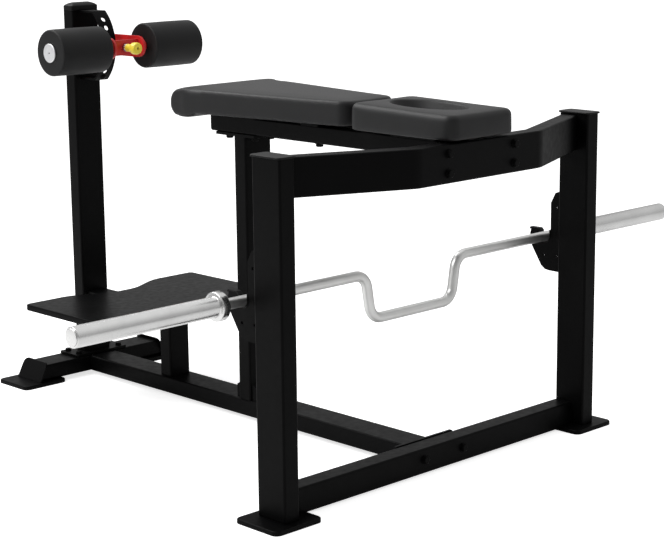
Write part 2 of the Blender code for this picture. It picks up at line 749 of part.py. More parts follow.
def make_roll():
    """The thick rear end of the long pad: a squarish roll with rounded ends."""
    bm = bmesh.new()
    turns = [math.pi / 2 * step / 3 for step in range(4)]
    places = [(ROLL_HALF - ROLL_END + ROLL_END * math.cos(turn), ROLL_END - ROLL_END * math.sin(turn))
              for turn in turns]
    loops = []
    for x, inset in [(-x, inset) for x, inset in places] + places[::-1]:
        verts = []
        for y, z in superellipse(ROLL_HALF_DEEP - inset, ROLL_HALF_TALL - inset, ROLL_SQUARE, 28):
            verts.append(bm.verts.new((x, ROLL_Y + y, ROLL_Z + z)))
        loops.append([bm.edges.new((verts[i - 1], verts[i])) for i in range(len(verts))])
    for first, second in zip(loops, loops[1:]):
        bmesh.ops.bridge_loops(bm, edges=first + second)
    bmesh.ops.holes_fill(bm, edges=loops[0] + loops[-1], sides=0)
    bmesh.ops.recalc_face_normals(bm, faces=bm.faces)
    return bm


def make_pads():
    """The tapered chest pad with its full width roll, and the face pad with its oval recess."""
    corner = LONG_PAD_CORNER
    body = cushion(LONG_PAD_FRONT, ROLL_Y, LONG_PAD_FRONT_HALF, LONG_PAD_REAR_HALF, LONG_PAD_LOW,
                   LONG_PAD_TOP, (corner, corner, 0.006, 0.006), PAD_CROWN * 0.6, PAD_EDGE, PAD_DRAW_IN)
    for vertex in body.verts:
        if vertex.co.z > (LONG_PAD_LOW + LONG_PAD_TOP) / 2:
            vertex.co.z += LONG_PAD_RISE * (vertex.co.y - LONG_PAD_FRONT) / (ROLL_Y - LONG_PAD_FRONT)
    store("long_pad", combine(body, make_roll(), "UNION"), upholstery("long_pad"), True)
    face = cushion(FACE_PAD_FRONT, FACE_PAD_REAR, FACE_PAD_HALF, FACE_PAD_HALF, FACE_PAD_LOW,
                   FACE_PAD_TOP, (FACE_PAD_CORNER,) * 4, PAD_CROWN, PAD_EDGE, PAD_DRAW_IN)
    bowl = bmesh.new()
    bmesh.ops.create_cone(bowl, cap_ends=True, segments=32, radius1=RECESS_FLOOR, radius2=1.0, depth=1.0)
    bmesh.ops.scale(bowl, vec=(RECESS_HALF_X, RECESS_HALF_Y, RECESS_DEEP), verts=bowl.verts)
    floor = FACE_PAD_TOP + PAD_CROWN - RECESS_DEEP
    bmesh.ops.translate(bowl, vec=(0.0, RECESS_Y, floor + RECESS_DEEP / 2), verts=bowl.verts)
    bowl = soften(bowl, RECESS_ROUND, 3, level_edges(floor))
    store("face_pad", combine(face, bowl, "DIFFERENCE"), upholstery("face_pad"), True)


def step_edge(x):
    """Rear edge of the step, with a shallow hollow in the middle."""
    share = (abs(x) - STEP_HOLLOW_START) / (STEP_HOLLOW_END - STEP_HOLLOW_START)
    share = min(max(share, 0.0), 1.0)
    return STEP_REAR - STEP_HOLLOW * (1 - share * share * (3 - 2 * share))


def make_step():
    """Foot step on its short post, with the strap that ties it to the rear post."""
    count = 28
    edge = [STEP_HALF * (1 - 2 * step / count) for step in range(count + 1)]
    outline = [(-STEP_HALF, STEP_FRONT), (STEP_HALF, STEP_FRONT)] + [(x, step_edge(x)) for x in edge]
    radii = [STEP_CORNER] * 3 + [0.0] * (len(edge) - 2) + [STEP_CORNER]
    board = sheet([fillet(outline, radii, 4)], STEP_THICK, lay("plan", (0, 0, STEP_TOP - STEP_THICK / 2)))
    top_edges, low_edges = level_edges(STEP_TOP), level_edges(STEP_TOP - STEP_THICK)
    board = soften(board, STEP_EDGE, 2, lambda edge: top_edges(edge) or low_edges(edge))
    store("step_plate", board, black_paint("step_plate"))
    low = BASE_Z + BEAM_TALL + GAP
    high = STEP_TOP - STEP_THICK - GAP
    post = tube(2 * STEP_POST_HALF, POST_DEEP, high - low,
                lay("plan", (0, STEP_POST_FRONT + POST_DEEP / 2, (low + high) / 2)))
    store("step_post", post, black_paint("step_post"))
    face = REAR_POST_FRONT - GAP
    under = high - STRAP_THICK
    outline = [(STRAP_FRONT, under), (face - STRAP_THICK, under), (face - STRAP_THICK, high - STRAP_DROP),
               (face, high - STRAP_DROP), (face, high), (STRAP_FRONT, high)]
    store("step_angle", sheet([outline], STRAP_WIDE, lay("side", (0, 0, 0))), black_paint("step_angle"))


def make_rear_base():
    """Rear crossbeam with slanting end plates, and its foot plates."""
    middle = REAR_BEAM_FRONT + REAR_BEAM_DEEP / 2
    top = BASE_Z + BEAM_TALL
    beam = tube(REAR_BEAM_DEEP, BEAM_TALL, 0.640, lay("side", (0, middle, BASE_Z + BEAM_TALL / 2)))
    lean = (REAR_BEAM_LOW_HALF - REAR_BEAM_TOP_HALF) / BEAM_TALL
    over = 0.01
    tip, foot = REAR_BEAM_TOP_HALF - over * lean, REAR_BEAM_LOW_HALF + over * lean
    outline = [(-foot, BASE_Z - over), (foot, BASE_Z - over), (tip, top + over), (-tip, top + over)]
    wedge = sheet([outline], 2 * REAR_BEAM_DEEP, lay("front", (0, middle, 0)))
    beam = combine(beam, wedge, "INTERSECT")
    store("rear_crossbeam", drill(beam, rear_holes(), REAR_BOLT_HOLE), black_paint("rear_crossbeam"))
    slant = math.hypot(lean, 1.0)
    near, far = GAP * slant, (GAP + END_PLATE_THICK) * slant
    proud = END_PLATE_PROUD
    half = REAR_BEAM_DEEP / 2 + END_PLATE_OVER
    front, rear, crest = middle - half, middle + half, top + proud
    outline = fillet([(front, 0.0), (rear, 0.0), (rear, crest), (front, crest)],
                     [0.0, 0.0, END_PLATE_CORNER, END_PLATE_CORNER], 4)
    face = sheet([outline], 4 * REAR_BEAM_TOP_HALF, lay("side", (0, 0, 0)))
    for side, sign in sides():
        outline = [(sign * (REAR_BEAM_LOW_HALF + near), BASE_Z), (sign * (REAR_BEAM_LOW_HALF + far), BASE_Z),
                   (sign * (REAR_BEAM_TOP_HALF + far - proud * lean), crest),
                   (sign * (REAR_BEAM_TOP_HALF + near - proud * lean), crest)]
        plate = combine(sheet([outline], 2 * half, lay("front", (0, middle, 0))), face.copy(), "INTERSECT")
        name = f"rear_end_plate_{side}"
        store(name, plate, black_paint(name))
        ends = sorted((sign * REAR_FOOT_IN, sign * REAR_FOOT_OUT))
        make_foot(f"rear_foot_{side}", (ends[0], REAR_FOOT_FRONT), (ends[1], REAR_FOOT_REAR))
    face.free()
    flange_top = top + GAP + PLATE_THICK
    for row, y in zip(("front", "rear"), REAR_FLANGE_BOLT_YS):
        for side, sign in sides():
            name = f"rear_flange_bolt_{row}_{side}"
            frame = lay("plan", (sign * REAR_FLANGE_BOLT_X, y, flange_top))
            grip = PLATE_THICK + GAP + WALL + 0.01
            store(name, bolt(frame, grip, 0.005, 0.0085, 0.0064, 0.0100, False), dark_steel(name))


def make_rear_post():
    """Rear post welded on its flange, with its pivot bolt and domed cap."""
    low = BASE_Z + BEAM_TALL + GAP
    start = low + PLATE_THICK / 2
    middle = REAR_POST_FRONT + POST_DEEP / 2
    post = tube(2 * BEAM_HALF, POST_DEEP, REAR_POST_TOP - start,
                lay("plan", (0, middle, (start + REAR_POST_TOP) / 2)))
    pivot = [((-0.08, PIVOT_Y, PIVOT_Z), (0.08, PIVOT_Y, PIVOT_Z))]
    post = drill(post, pivot, AXLE_RADIUS + GAP, 32)
    flange = sheet([rectangle(-REAR_FLANGE_HALF, REAR_BEAM_FRONT + 0.002, REAR_FLANGE_HALF,
                              REAR_BEAM_FRONT + REAR_BEAM_DEEP - 0.002, 0.006)], PLATE_THICK,
                   lay("plan", (0, 0, low + PLATE_THICK / 2)))
    post = combine(post, drill(flange, rear_holes(), REAR_BOLT_HOLE), "UNION")
    store("rear_post", post, black_paint("rear_post"))
    low_cap = REAR_POST_TOP + GAP
    cap = bmesh.new()
    half_x, half_y = BEAM_HALF + GAP, POST_DEEP / 2 + GAP
    rings = []
    for inset, rise in CAP_RINGS:
        outline = rectangle(-half_x + inset, -half_y + inset, half_x - inset, half_y - inset,
                            max(CORNER + 0.001 - inset * 0.3, 0.002))
        verts = [cap.verts.new((x, y + middle, low_cap + rise)) for x, y in outline]
        rings.append([cap.edges.new((verts[i - 1], verts[i])) for i in range(len(verts))])
    for lower, upper in zip(rings, rings[1:]):
        bmesh.ops.bridge_loops(cap, edges=lower + upper)
    bmesh.ops.holes_fill(cap, edges=rings[0] + rings[-1], sides=0)
    plug_x, plug_y = BEAM_HALF - WALL - 0.002, POST_DEEP / 2 - WALL - 0.002
    plug = block((-plug_x, middle - plug_y, low_cap - 0.015), (plug_x, middle + plug_y, low_cap + 0.002))
    store("rear_post_cap", combine(cap, plug, "UNION"), black_plastic("rear_post_cap"))
    reach = CHEEK_IN + CHEEK_THICK + GAP
    pin = bolt(lay("side_left", (-reach, PIVOT_Y, PIVOT_Z)), 2 * reach, AXLE_RADIUS, 0.018, 0.010, 0.0215)
    store("pivot_bolt", pin, dark_steel("pivot_bolt"))


def strip_line(pivot, angle):
    """Way out from the pivot at an angle in degrees, and a drill line through the curved strip there."""
    turn = math.radians(180 - angle)
    away = Vector((0.0, math.cos(turn), math.sin(turn)))
    return away, (pivot + away * (ARC_RADIUS - 4 * ARC_THICK), pivot + away * (ARC_RADIUS + 2 * ARC_THICK))


def make_selector():
    """Curved strip of locating holes in front of the rear post, with its stop bolt."""
    face = REAR_POST_FRONT - GAP
    centre = (PIVOT_Y, PIVOT_Z)
    inner = ARC_RADIUS - ARC_THICK
    outer_end = math.degrees(math.asin(LEG_RISE / ARC_RADIUS))
    inner_end = math.degrees(math.asin((LEG_RISE - ARC_THICK) / inner))
    outline = [(face, PIVOT_Z + LEG_RISE)] + arc(centre, ARC_RADIUS, 180 - outer_end, 180 + outer_end, 26)
    outline += [(face, PIVOT_Z - LEG_RISE), (face, PIVOT_Z - LEG_RISE + ARC_THICK)]
    outline += arc(centre, inner, 180 + inner_end, 180 - inner_end, 26)
    outline += [(face, PIVOT_Z + LEG_RISE - ARC_THICK)]
    strip = sheet([outline], ARC_WIDE, lay("side", (0, 0, 0)))
    pivot = Vector((0.0, PIVOT_Y, PIVOT_Z))
    strip = drill(strip, [strip_line(pivot, step * HOLE_STEP)[1] for step in range(-3, 4)], HOLE_RADIUS)
    away, line = strip_line(pivot, STOP_BOLT_ANGLE)
    strip = drill(strip, [line], REAR_BOLT_HOLE)
    store("selector_strip", strip, black_paint("selector_strip"))
    turn = Vector((0, 0, 1)).rotation_difference(away).to_matrix().to_4x4()
    frame = Matrix.Translation(pivot + away * ARC_RADIUS) @ turn
    nut_face = -ARC_THICK - 0.0012
    button = [(0.0, 0.0055), (0.005, 0.0050), (0.0085, 0.0030), (0.0095, 0.0006), (0.005, 0.0006),
              (0.005, nut_face), (0.0082, nut_face), (0.0082, nut_face - 0.006), (0.0, nut_face - 0.006)]
    store("selector_stop_bolt", turned(button, frame, 12), dark_steel("selector_stop_bolt"))


def capsule(first, last, radius, steps=10):
    """Outline of a bar with round ends, along the first drawing axis."""
    return arc((first, PIVOT_Z), radius, 90, 270, steps) + arc((last, PIVOT_Z), radius, -90, 90, steps)


def make_roller_arm():
    """Welded red fork with its stub axles, and the rollers, end caps and pull pin on it."""
    pivot = (0.0, PIVOT_Y, PIVOT_Z)
    web_half = CHEEK_IN + CHEEK_THICK / 2
    fork = sheet([rectangle(-web_half, PIVOT_Z - WEB_HALF, web_half, PIVOT_Z + WEB_HALF, 0.002),
                  circle(0, PIVOT_Z, PLUNGER_RADIUS + GAP, 16)], WEB_THICK, lay("front", (0, WEB_Y, 0)))
    shoulder = ROLLER_IN - GAP
    end = ROLLER_OUT + AXLE_OVER
    for side, sign in sides():
        plane = "side" if sign > 0 else "side_left"
        centre = (0, ROLLER_Y, PIVOT_Z)
        outlines = [capsule(CHEEK_FRONT_Y, PIVOT_Y, CHEEK_RADIUS), circle(PIVOT_Y, PIVOT_Z, AXLE_BORE, 32)]
        cheek = sheet(outlines, CHEEK_THICK, lay("side", (sign * web_half, 0, 0)))
        profile = [(0.0, end), (AXLE_RADIUS, end), (AXLE_RADIUS, shoulder), (AXLE_SHOULDER, shoulder),
                   (AXLE_SHOULDER, web_half), (0.0, web_half)]
        fork = combine(fork, combine(cheek, turned(profile, lay(plane, centre)), "UNION"), "UNION")
        outside = round_edge(ROLLER_RADIUS, ROLLER_OUT, ROLLER_EDGE, 4, False)
        middle = [(ROLLER_RADIUS + 0.0004, (ROLLER_IN + ROLLER_OUT) / 2)]
        inside = round_edge(ROLLER_RADIUS, ROLLER_IN, ROLLER_EDGE, 4, True)
        profile = [(AXLE_BORE, ROLLER_OUT)] + outside + middle + inside + [(AXLE_BORE, ROLLER_IN)]
        name = f"roller_{side}"
        store(name, turned(profile, lay(plane, centre), 28, True), upholstery(name), True, centre)
        low = end + GAP
        top = low + ROLLER_CAP_THICK
        profile = [(0.0, top)] + round_edge(ROLLER_CAP_RADIUS, top, ROLLER_CAP_EDGE, 3, False)
        profile += [(ROLLER_CAP_RADIUS, low), (0.0, low)]
        name = f"roller_cap_{side}"
        bright = paint(name, (0.62, 0.62, 0.62), 0.3, 0.8)
        store(name, turned(profile, lay(plane, centre), 20), bright, True, pivot)
    store("roller_fork", fork, red_paint("roller_fork"), origin=pivot)
    front = WEB_Y - WEB_THICK / 2 - GAP
    bore = PLUNGER_RADIUS + GAP
    wide, long = BARREL_RADIUS, BARREL_LONG
    profile = [(bore, long), (wide - 0.002, long), (wide, long - 0.002), (wide, 0.0), (bore, 0.0)]
    barrel = turned(profile, lay("front", (0, front, PIVOT_Z)), 24, True)
    store("pin_barrel", barrel, paint("pin_barrel", (0.6, 0.6, 0.6), 0.35, 1.0), origin=pivot)
    tip = PIVOT_Y - ARC_RADIUS - 0.001
    inside = front - BARREL_LONG
    finish = KNOB_FRONT + KNOB_HOLLOW
    profile = [(0.0, 0.0), (0.0060, 0.0), (PLUNGER_RADIUS, -0.0015), (PLUNGER_RADIUS, inside - tip),
               (0.004, inside - tip), (0.004, finish - tip), (0.0, finish - tip)]
    spot = (0.0, front, PIVOT_Z)
    plunger = turned(profile, lay("back", (0, tip, PIVOT_Z)), 16)
    store("pin_plunger", plunger, dark_steel("pin_plunger"), origin=spot)
    neck = front - BARREL_LONG - GAP
    long = neck - KNOB_FRONT
    profile = [(KNOB_BORE, long), (0.0130, long), (0.0170, long - 0.002), (0.0185, long - 0.006),
               (0.0185, long - 0.018), (0.0178, long - 0.022), (0.0145, long - 0.026),
               (KNOB_NECK, long - 0.032), (KNOB_NECK, 0.0), (KNOB_BORE, 0.0)]
    knob = turned(profile, lay("front", (0, neck, PIVOT_Z)), 20, True)
    store("pin_knob", knob, paint("pin_knob", (0.80, 0.62, 0.03), 0.35, 0.0), True, spot)


def make_bar():
    """Cambered bar across the rests, with a turning sleeve at each end."""
    half = BAR_HALF - 0.010
    path = [(-half, 0.0), (-BAR_UPPER_BEND, 0.0), (-BAR_LOWER_BEND, -BAR_DROP), (BAR_LOWER_BEND, -BAR_DROP),
            (BAR_UPPER_BEND, 0.0), (half, 0.0)]
    path = fillet(path, [0.0] + [BAR_BEND_RADIUS] * 4 + [0.0], 6)
    wire = bpy.data.curves.new("wire", "CURVE")
    wire.dimensions = "3D"
    wire.bevel_depth = BAR_RADIUS
    wire.bevel_resolution = 4
    wire.use_fill_caps = True
    spline = wire.splines.new("POLY")
    spline.points.add(len(path) - 1)
    for knot, (x, z) in zip(spline.points, path):
        knot.co = (BAR_X + x, BAR_Y, BAR_Z + z, 1.0)
    item = bpy.data.objects.new("wire", wire)
    bpy.context.scene.collection.objects.link(item)
    centre = (BAR_X, BAR_Y, BAR_Z)
    store("bar_shaft", evaluated(item), chrome("bar_shaft"), True, centre)
    bpy.data.curves.remove(wire)
    for side, sign in sides():
        plane = "side" if sign > 0 else "side_left"
        end = BAR_HALF
        step = SLEEVE_START + COLLAR_THICK
        profile = [(0.0, end), (0.0205, end), (0.0215, end - 0.0015), (0.0215, end - 0.0035),
                   (SLEEVE_RADIUS - 0.002, end - 0.0035), (SLEEVE_RADIUS, end - 0.0055),
                   (SLEEVE_RADIUS, step),
                   (COLLAR_RADIUS - 0.003, step), (COLLAR_RADIUS, step - 0.003),
                   (COLLAR_RADIUS, SLEEVE_START + 0.003), (COLLAR_RADIUS - 0.003, SLEEVE_START),
                   (SLEEVE_BORE, SLEEVE_START), (SLEEVE_BORE, end - 0.008), (0.0, end - 0.008)]
        name = f"bar_sleeve_{side}"
        store(name, turned(profile, lay(plane, centre), 24), chrome(name), False, centre)


def make_hooks():
    """Bar rests welded behind the uprights, and their plastic liners."""
    seat = (BAR_Y, BAR_Z)
    slack = 0.0004
    reach = BAR_RADIUS + slack + LINER_THICK + GAP
    front, rear = BAR_Y - reach, BAR_Y + reach
    root = UPRIGHT_DEEP + GAP
    lip_top = 0.564
    tail = [(rear, lip_top - 0.004), (rear + 0.004, lip_top), (0.2145, lip_top), (0.2185, 0.5480),
            (0.2120, 0.5130), (0.1765, 0.4580), (0.1630, 0.4485), (0.1500, 0.4460), (0.1120, 0.4455),
            (root, 0.4380)]
    outline = [(root, HOOK_TOP), (0.1130, HOOK_TOP), (0.1268, HOOK_TOP - 0.005), (front, HOOK_TOP - 0.035)]
    outline += arc(seat, reach, 180, 360, 14) + tail
    inner = reach - GAP
    bore = inner - LINER_THICK
    high = 0.566
    liner = [(seat[0] - inner, high)] + arc(seat, inner, 180, 360, 14)
    liner += [(seat[0] + inner, lip_top - 0.0038), (rear + 0.0039, lip_top + GAP), (0.2147, lip_top + GAP),
              (0.2162, lip_top - 0.0030), (0.2205, lip_top - 0.0030), (0.2170, lip_top + LINER_THICK + GAP),
              (rear + 0.0024, lip_top + LINER_THICK + GAP), (seat[0] + bore, lip_top - 0.0024)]
    liner += arc(seat, bore, 360, 180, 14) + [(seat[0] - bore, high)]
    spots = ((0.1240, 0.6320), (0.1675, 0.4900), (0.1210, 0.4910))
    for side, sign in sides():
        plate = sheet([outline] + [circle(y, z, 0.0045, 12) for y, z in spots], HOOK_THICK,
                      lay("side", (sign * HOOK_X, 0, 0)))
        store(f"hook_plate_{side}", plate, black_paint(f"hook_plate_{side}"))
        strip = sheet([liner], LINER_WIDE, lay("side", (sign * HOOK_X, 0, 0)))
        store(f"hook_liner_{side}", strip, black_plastic(f"hook_liner_{side}"))


def crossbeam_holes():
    """Drill lines of the two crossbeam bolts."""
    places = [CROSS_BOLT_MIDDLE + sign * CROSS_BOLT_X for sign in (-1, 1)]
    return [((x, 0.0, CROSS_BOLT_Z), (x, 0.15, CROSS_BOLT_Z)) for x in places]


def bow_holes():
    """Drill lines of the four bolts through the bowed beam."""
    return [((sign * BOW_BOLT_X, BOW_FRONT - 0.02, z), (sign * BOW_BOLT_X, 0.0, z))
            for z in BOW_BOLT_ZS for sign in (-1, 1)]


def rear_holes():
    """Drill lines of the four bolts that hold the rear post down."""
    return [((sign * REAR_FLANGE_BOLT_X, y, 0.05), (sign * REAR_FLANGE_BOLT_X, y, 0.09))
            for y in REAR_FLANGE_BOLT_YS for sign in (-1, 1)]


def main():
    """Build every piece of the machine."""
    clear_scene()
    bpy.context.scene.collection.children.link(bpy.data.collections.new(MACHINE))
    make_uprights()
    make_crossbeam()
    make_bow()
    make_middle_frame(*make_pad_support())
    make_pads()
    make_step()
    make_rear_base()
    make_rear_post()
    make_selector()
    make_roller_arm()
    make_bar()
    make_hooks()


main()
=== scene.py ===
"""Looks for the rear deltoid machine, laid out as a Blender add-on and run as a script."""
import math

import bmesh
import bpy
import numpy as np
from bpy.props import FloatProperty, FloatVectorProperty, PointerProperty
from mathutils import Matrix, Vector


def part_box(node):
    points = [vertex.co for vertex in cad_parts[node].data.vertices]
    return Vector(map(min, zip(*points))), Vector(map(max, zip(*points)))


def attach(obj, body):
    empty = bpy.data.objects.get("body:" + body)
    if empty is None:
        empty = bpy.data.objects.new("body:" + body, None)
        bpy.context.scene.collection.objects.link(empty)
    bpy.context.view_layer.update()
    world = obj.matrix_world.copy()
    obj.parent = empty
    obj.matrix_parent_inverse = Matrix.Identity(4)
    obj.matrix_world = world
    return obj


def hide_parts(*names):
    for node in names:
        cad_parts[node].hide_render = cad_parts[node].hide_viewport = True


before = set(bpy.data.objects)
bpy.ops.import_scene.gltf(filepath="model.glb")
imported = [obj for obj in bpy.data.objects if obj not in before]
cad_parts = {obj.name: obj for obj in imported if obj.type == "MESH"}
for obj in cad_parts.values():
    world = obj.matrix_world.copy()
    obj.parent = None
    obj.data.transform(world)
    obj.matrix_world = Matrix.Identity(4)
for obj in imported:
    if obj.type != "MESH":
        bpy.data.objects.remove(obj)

bl_info = {
    "name": "Rear Deltoid Machine",
    "version": (1, 0, 0),
    "blender": (4, 5, 0),
    "location": "3D View > Sidebar > Machine",
    "description": "Dresses the packed machine with its pads, rollers, bar and finishes, and lights it",
    "category": "Object",
}

SIDES = ("left", "right")
PAINTED = (
    "upright_left", "upright_right", "front_foot_left", "front_foot_right", "floor_crossbeam", "bow_beam",
    "support_beam", "long_pad_rear_mount", "long_pad_front_mount", "face_pad_mount", "long_beam",
    "centre_post", "step_post", "step_angle", "rear_crossbeam", "rear_end_plate_left", "rear_end_plate_right",
    "rear_foot_left", "rear_foot_right", "rear_post", "selector_strip", "hook_plate_left", "hook_plate_right",
)
FASTENERS = tuple(sorted(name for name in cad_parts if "bolt" in name))
MOULDED = ("upright_cap_left", "upright_cap_right", "rear_post_cap", "hook_liner_left", "hook_liner_right")
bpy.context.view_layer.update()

# Rounding of cut edges, and the least angle in degrees between faces that counts as a cut edge
BOLT_EDGE, BOLT_ANGLE = 0.0004, 50
MOULDED_EDGE, MOULDED_ANGLE = 0.0007, 38
# How far a pad's first shape stays inside its finished cover
COVER_INSET = 0.0015
# Mesh sizes of the pads' skins; finer ones pass 200,000 triangles
LONG_PAD_SKIN, FACE_PAD_SKIN = 0.0047, 0.0036
# The lowest part of a cover, which is stapled down and doesn't swell
STAPLED = 0.006
# Frames of cover simulation
SWELL_FRAMES = 20
# Where the long pad's skin is evened out: round the roll's front, and round the roll's ends
SEAM_PLACE, SEAM_REACH = 0.8, 0.022
END_REACH, END_START = 0.030, 0.155
# Bores of the rollers and the sleeves, and the ring that touches beside each
ROLLER_BORE, ROLLER_RING = 0.0128, 0.020
SLEEVE_BORE, SLEEVE_RING, SLEEVE_BORE_DEPTH = 0.0149, 0.0195, 0.03
SLEEVE_RADIUS, COLLAR_THICK, COLLAR_ROUND = 0.0257, 0.023, 0.0028
# Raised disc in the middle of a sleeve's end
DISC_RADIUS, DISC_HEIGHT, DISC_ROUND = 0.0215, 0.0032, 0.0012
SLEEVE_END_ROUND = 0.0018
# Roller cap: its rounding, the dimple round its screw, and the screw's radius
CAP_ROUND, DIMPLE_DEPTH, DIMPLE_RADIUS, SCREW_RADIUS = 0.0018, 0.0012, 0.0030, 0.0026
# Steps of the arc at each bend of the bar
BEND_STEPS = 14
# The camera's turn and roll in degrees, the way back from its aim, and its place
CAMERA_TURN, CAMERA_ROLL = -44.1, -0.6
CAMERA_BACK = (-0.6813, -0.7031, 0.2037)
CAMERA_PLACE = (-3.4668, -3.88685, 1.5267)


def colour(label, text, value):
    """A colour that the user can change."""
    return FloatVectorProperty(name=label, description=text, default=value, size=3, min=0.0, max=1.0,
                               subtype="COLOR")


def length(label, text, value):
    """A length that the user can change."""
    return FloatProperty(name=label, description=text, default=value, min=0.0, unit="LENGTH")


def share(label, text, value):
    """A share from none to all that the user can change."""
    return FloatProperty(name=label, description=text, default=value, min=0.0, max=1.0, subtype="FACTOR")


class FrameSettings(bpy.types.PropertyGroup):
    """Steelwork and its finish."""
    paint: colour("Paint", "Powder coat on the steel frame", (0.0015, 0.0015, 0.0016))
    arm_paint: colour("Arm paint", "Powder coat on the roller arm", (0.62, 0.019, 0.020))
    plastic: colour("Plastic", "Moulded caps and liners", (0.0030, 0.0030, 0.0031))
    edge: length("Edge", "Rounding of the cut steel edges", 0.0009)


class PadSettings(bpy.types.PropertyGroup):
    """The two upholstered pads."""
    vinyl: colour("Vinyl", "Cover of the pads", (0.0098, 0.0098, 0.0103))
    front_width: length("Front width", "Width of the long pad at its narrow end", 0.196)
    rear_width: length("Rear width", "Width of the long pad where it meets the roll", 0.357)
    body_thick: length("Thickness", "Thickness of the long pad before its roll", 0.066)
    body_corner: length("Corner", "Rounding of the long pad's front corners", 0.034)
    body_rise: length("Rise", "How much thicker the long pad is at its wide end", 0.003)
    roll_deep: length("Roll depth", "Half the depth of the roll at the wide end", 0.0575)
    roll_tall: length("Roll height", "Half the height of the roll", 0.0428)
    roll_end: length("Roll end", "Rounding of the roll's ends", 0.006)
    roll_swell: length("Roll swell", "How far the roll's cover bulges past its board at the rear", 0.002)
    roll_square: FloatProperty(name="Roll squareness", description="Two makes it oval, more makes it squarer",
                               default=2.4, min=2.0, max=8.0)
    roll_below: length("Roll below", "How far the roll hangs below the pad's base", 0.0144)
    face_corner: length("Face pad corner", "Rounding of the face pad's corners", 0.031)
    face_edge: length("Face pad edge", "Rounding of the face pad's top edge", 0.015)
    face_tilt: length("Face pad tilt", "How far the face pad's top rises at the rear and drops at the front",
                      0.004)
    edge: length("Edge", "Rounding of the top edge", 0.010)
    swell: length("Swell", "How far the foam may lift the cover", 0.0030)
    recess_length: length("Recess length", "Length of the oval face recess", 0.260)
    recess_width: length("Recess width", "Width of the oval face recess", 0.144)
    recess_depth: length("Recess depth", "Depth of the oval face recess", 0.040)
    recess_floor: share("Recess floor", "Size of the recess at its floor", 0.76)
    recess_round: length("Recess rounding", "Rounding where the recess meets its floor", 0.010)
    recess_place: length("Recess place", "From the face pad's front end to the middle of the recess", 0.194)


class RollerSettings(bpy.types.PropertyGroup):
    """Foam rollers and their end caps."""
    foam: colour("Foam", "Skin of the foam rollers", (0.0072, 0.0072, 0.0076))
    edge: length("Edge", "Rounding of a roller's ends", 0.006)
    cap: colour("Cap", "Turned end caps", (0.86, 0.86, 0.87))
    knob: colour("Knob", "Grip of the pull pin", (0.94, 0.74, 0.060))


class BarSettings(bpy.types.PropertyGroup):
    """Cambered bar and its turning sleeves."""
    chrome: colour("Chrome", "Satin hard chrome", (0.80, 0.80, 0.79))
    sleeve: colour("Sleeve", "Satin finish of the sleeves", (0.76, 0.76, 0.755))
    upper_bend: length("Upper bend", "Distance of the upper bends from the middle of the bar", 0.1775)
    lower_bend: length("Lower bend", "Distance of the lower bends from the middle of the bar", 0.1565)
    drop: length("Drop", "Depth of the camber", 0.1238)
    bend_radius: length("Bend radius", "Radius of the bends at the bar's centre line", 0.043)


class StageSettings(bpy.types.PropertyGroup):
    """Floor, light and camera."""
    floor: colour("Floor", "Pale floor", (0.86, 0.86, 0.86))
    glow: share("Floor glow", "How bright the floor looks by itself", 0.72)
    room: share("Room", "Brightness of the room around the machine", 0.58)
    ceiling: FloatProperty(name="Ceiling", description="How much brighter the room is overhead", default=1.5,
                           min=0.0)
    front: share("Camera side", "Brightness of the room on the camera's side", 0.34)
    focal: FloatProperty(name="Lens", description="Focal length in millimetres", default=98.1, min=10.0)
    key: FloatProperty(name="Key", description="Power of the main soft light", default=110.0, min=0.0,
                       unit="POWER")
    fill: FloatProperty(name="Fill", description="Power of the side soft light", default=60.0, min=0.0,
                        unit="POWER")


def new_material(name):
    """An empty node material, its shader and a function that adds nodes to it."""
    material = bpy.data.materials.new(name)
    material.use_nodes = True
    nodes = material.node_tree.nodes
    nodes.clear()
    output = nodes.new("ShaderNodeOutputMaterial")
    shader = nodes.new("ShaderNodeBsdfPrincipled")
    material.node_tree.links.new(shader.outputs["BSDF"], output.inputs["Surface"])

    def add(kind, **inputs):
        item = nodes.new(kind)
        for key, value in inputs.items():
            socket = item.inputs[key.replace("_", " ")]
            if isinstance(value, bpy.types.NodeSocket):
                material.node_tree.links.new(value, socket)
            else:
                socket.default_value = value
        return item
    return material, shader, add


def join(material, source, target):
    """Link two sockets."""
    material.node_tree.links.new(source, target)


def spread(add, source, low, high, start=0.3, end=0.7):
    """Stretch a noise value over a range."""
    scale = add("ShaderNodeMapRange", Value=source)
    for key, value in (("From Min", start), ("From Max", end), ("To Min", low), ("To Max", high)):
        scale.inputs[key].default_value = value
    return scale.outputs["Result"]


def tint(add, amount, dark, light):
    """Mix two shades of a colour by a value."""
    blend = add("ShaderNodeMix")
    blend.data_type = "RGBA"
    blend.inputs[6].default_value = (*dark, 1.0)
    blend.inputs[7].default_value = (*light, 1.0)
    blend.inputs[0].default_value = 0.5
    blend.id_data.links.new(amount, blend.inputs[0])
    return blend.outputs[2]


def shade(base, factor):
    """A colour made lighter or darker."""
    return tuple(min(channel * factor, 1.0) for channel in base)


def relief(add, material, shader, height, strength, distance):
    """Bump from a height value."""
    bump = add("ShaderNodeBump", Height=height, Strength=strength, Distance=distance)
    join(material, bump.outputs["Normal"], shader.inputs["Normal"])


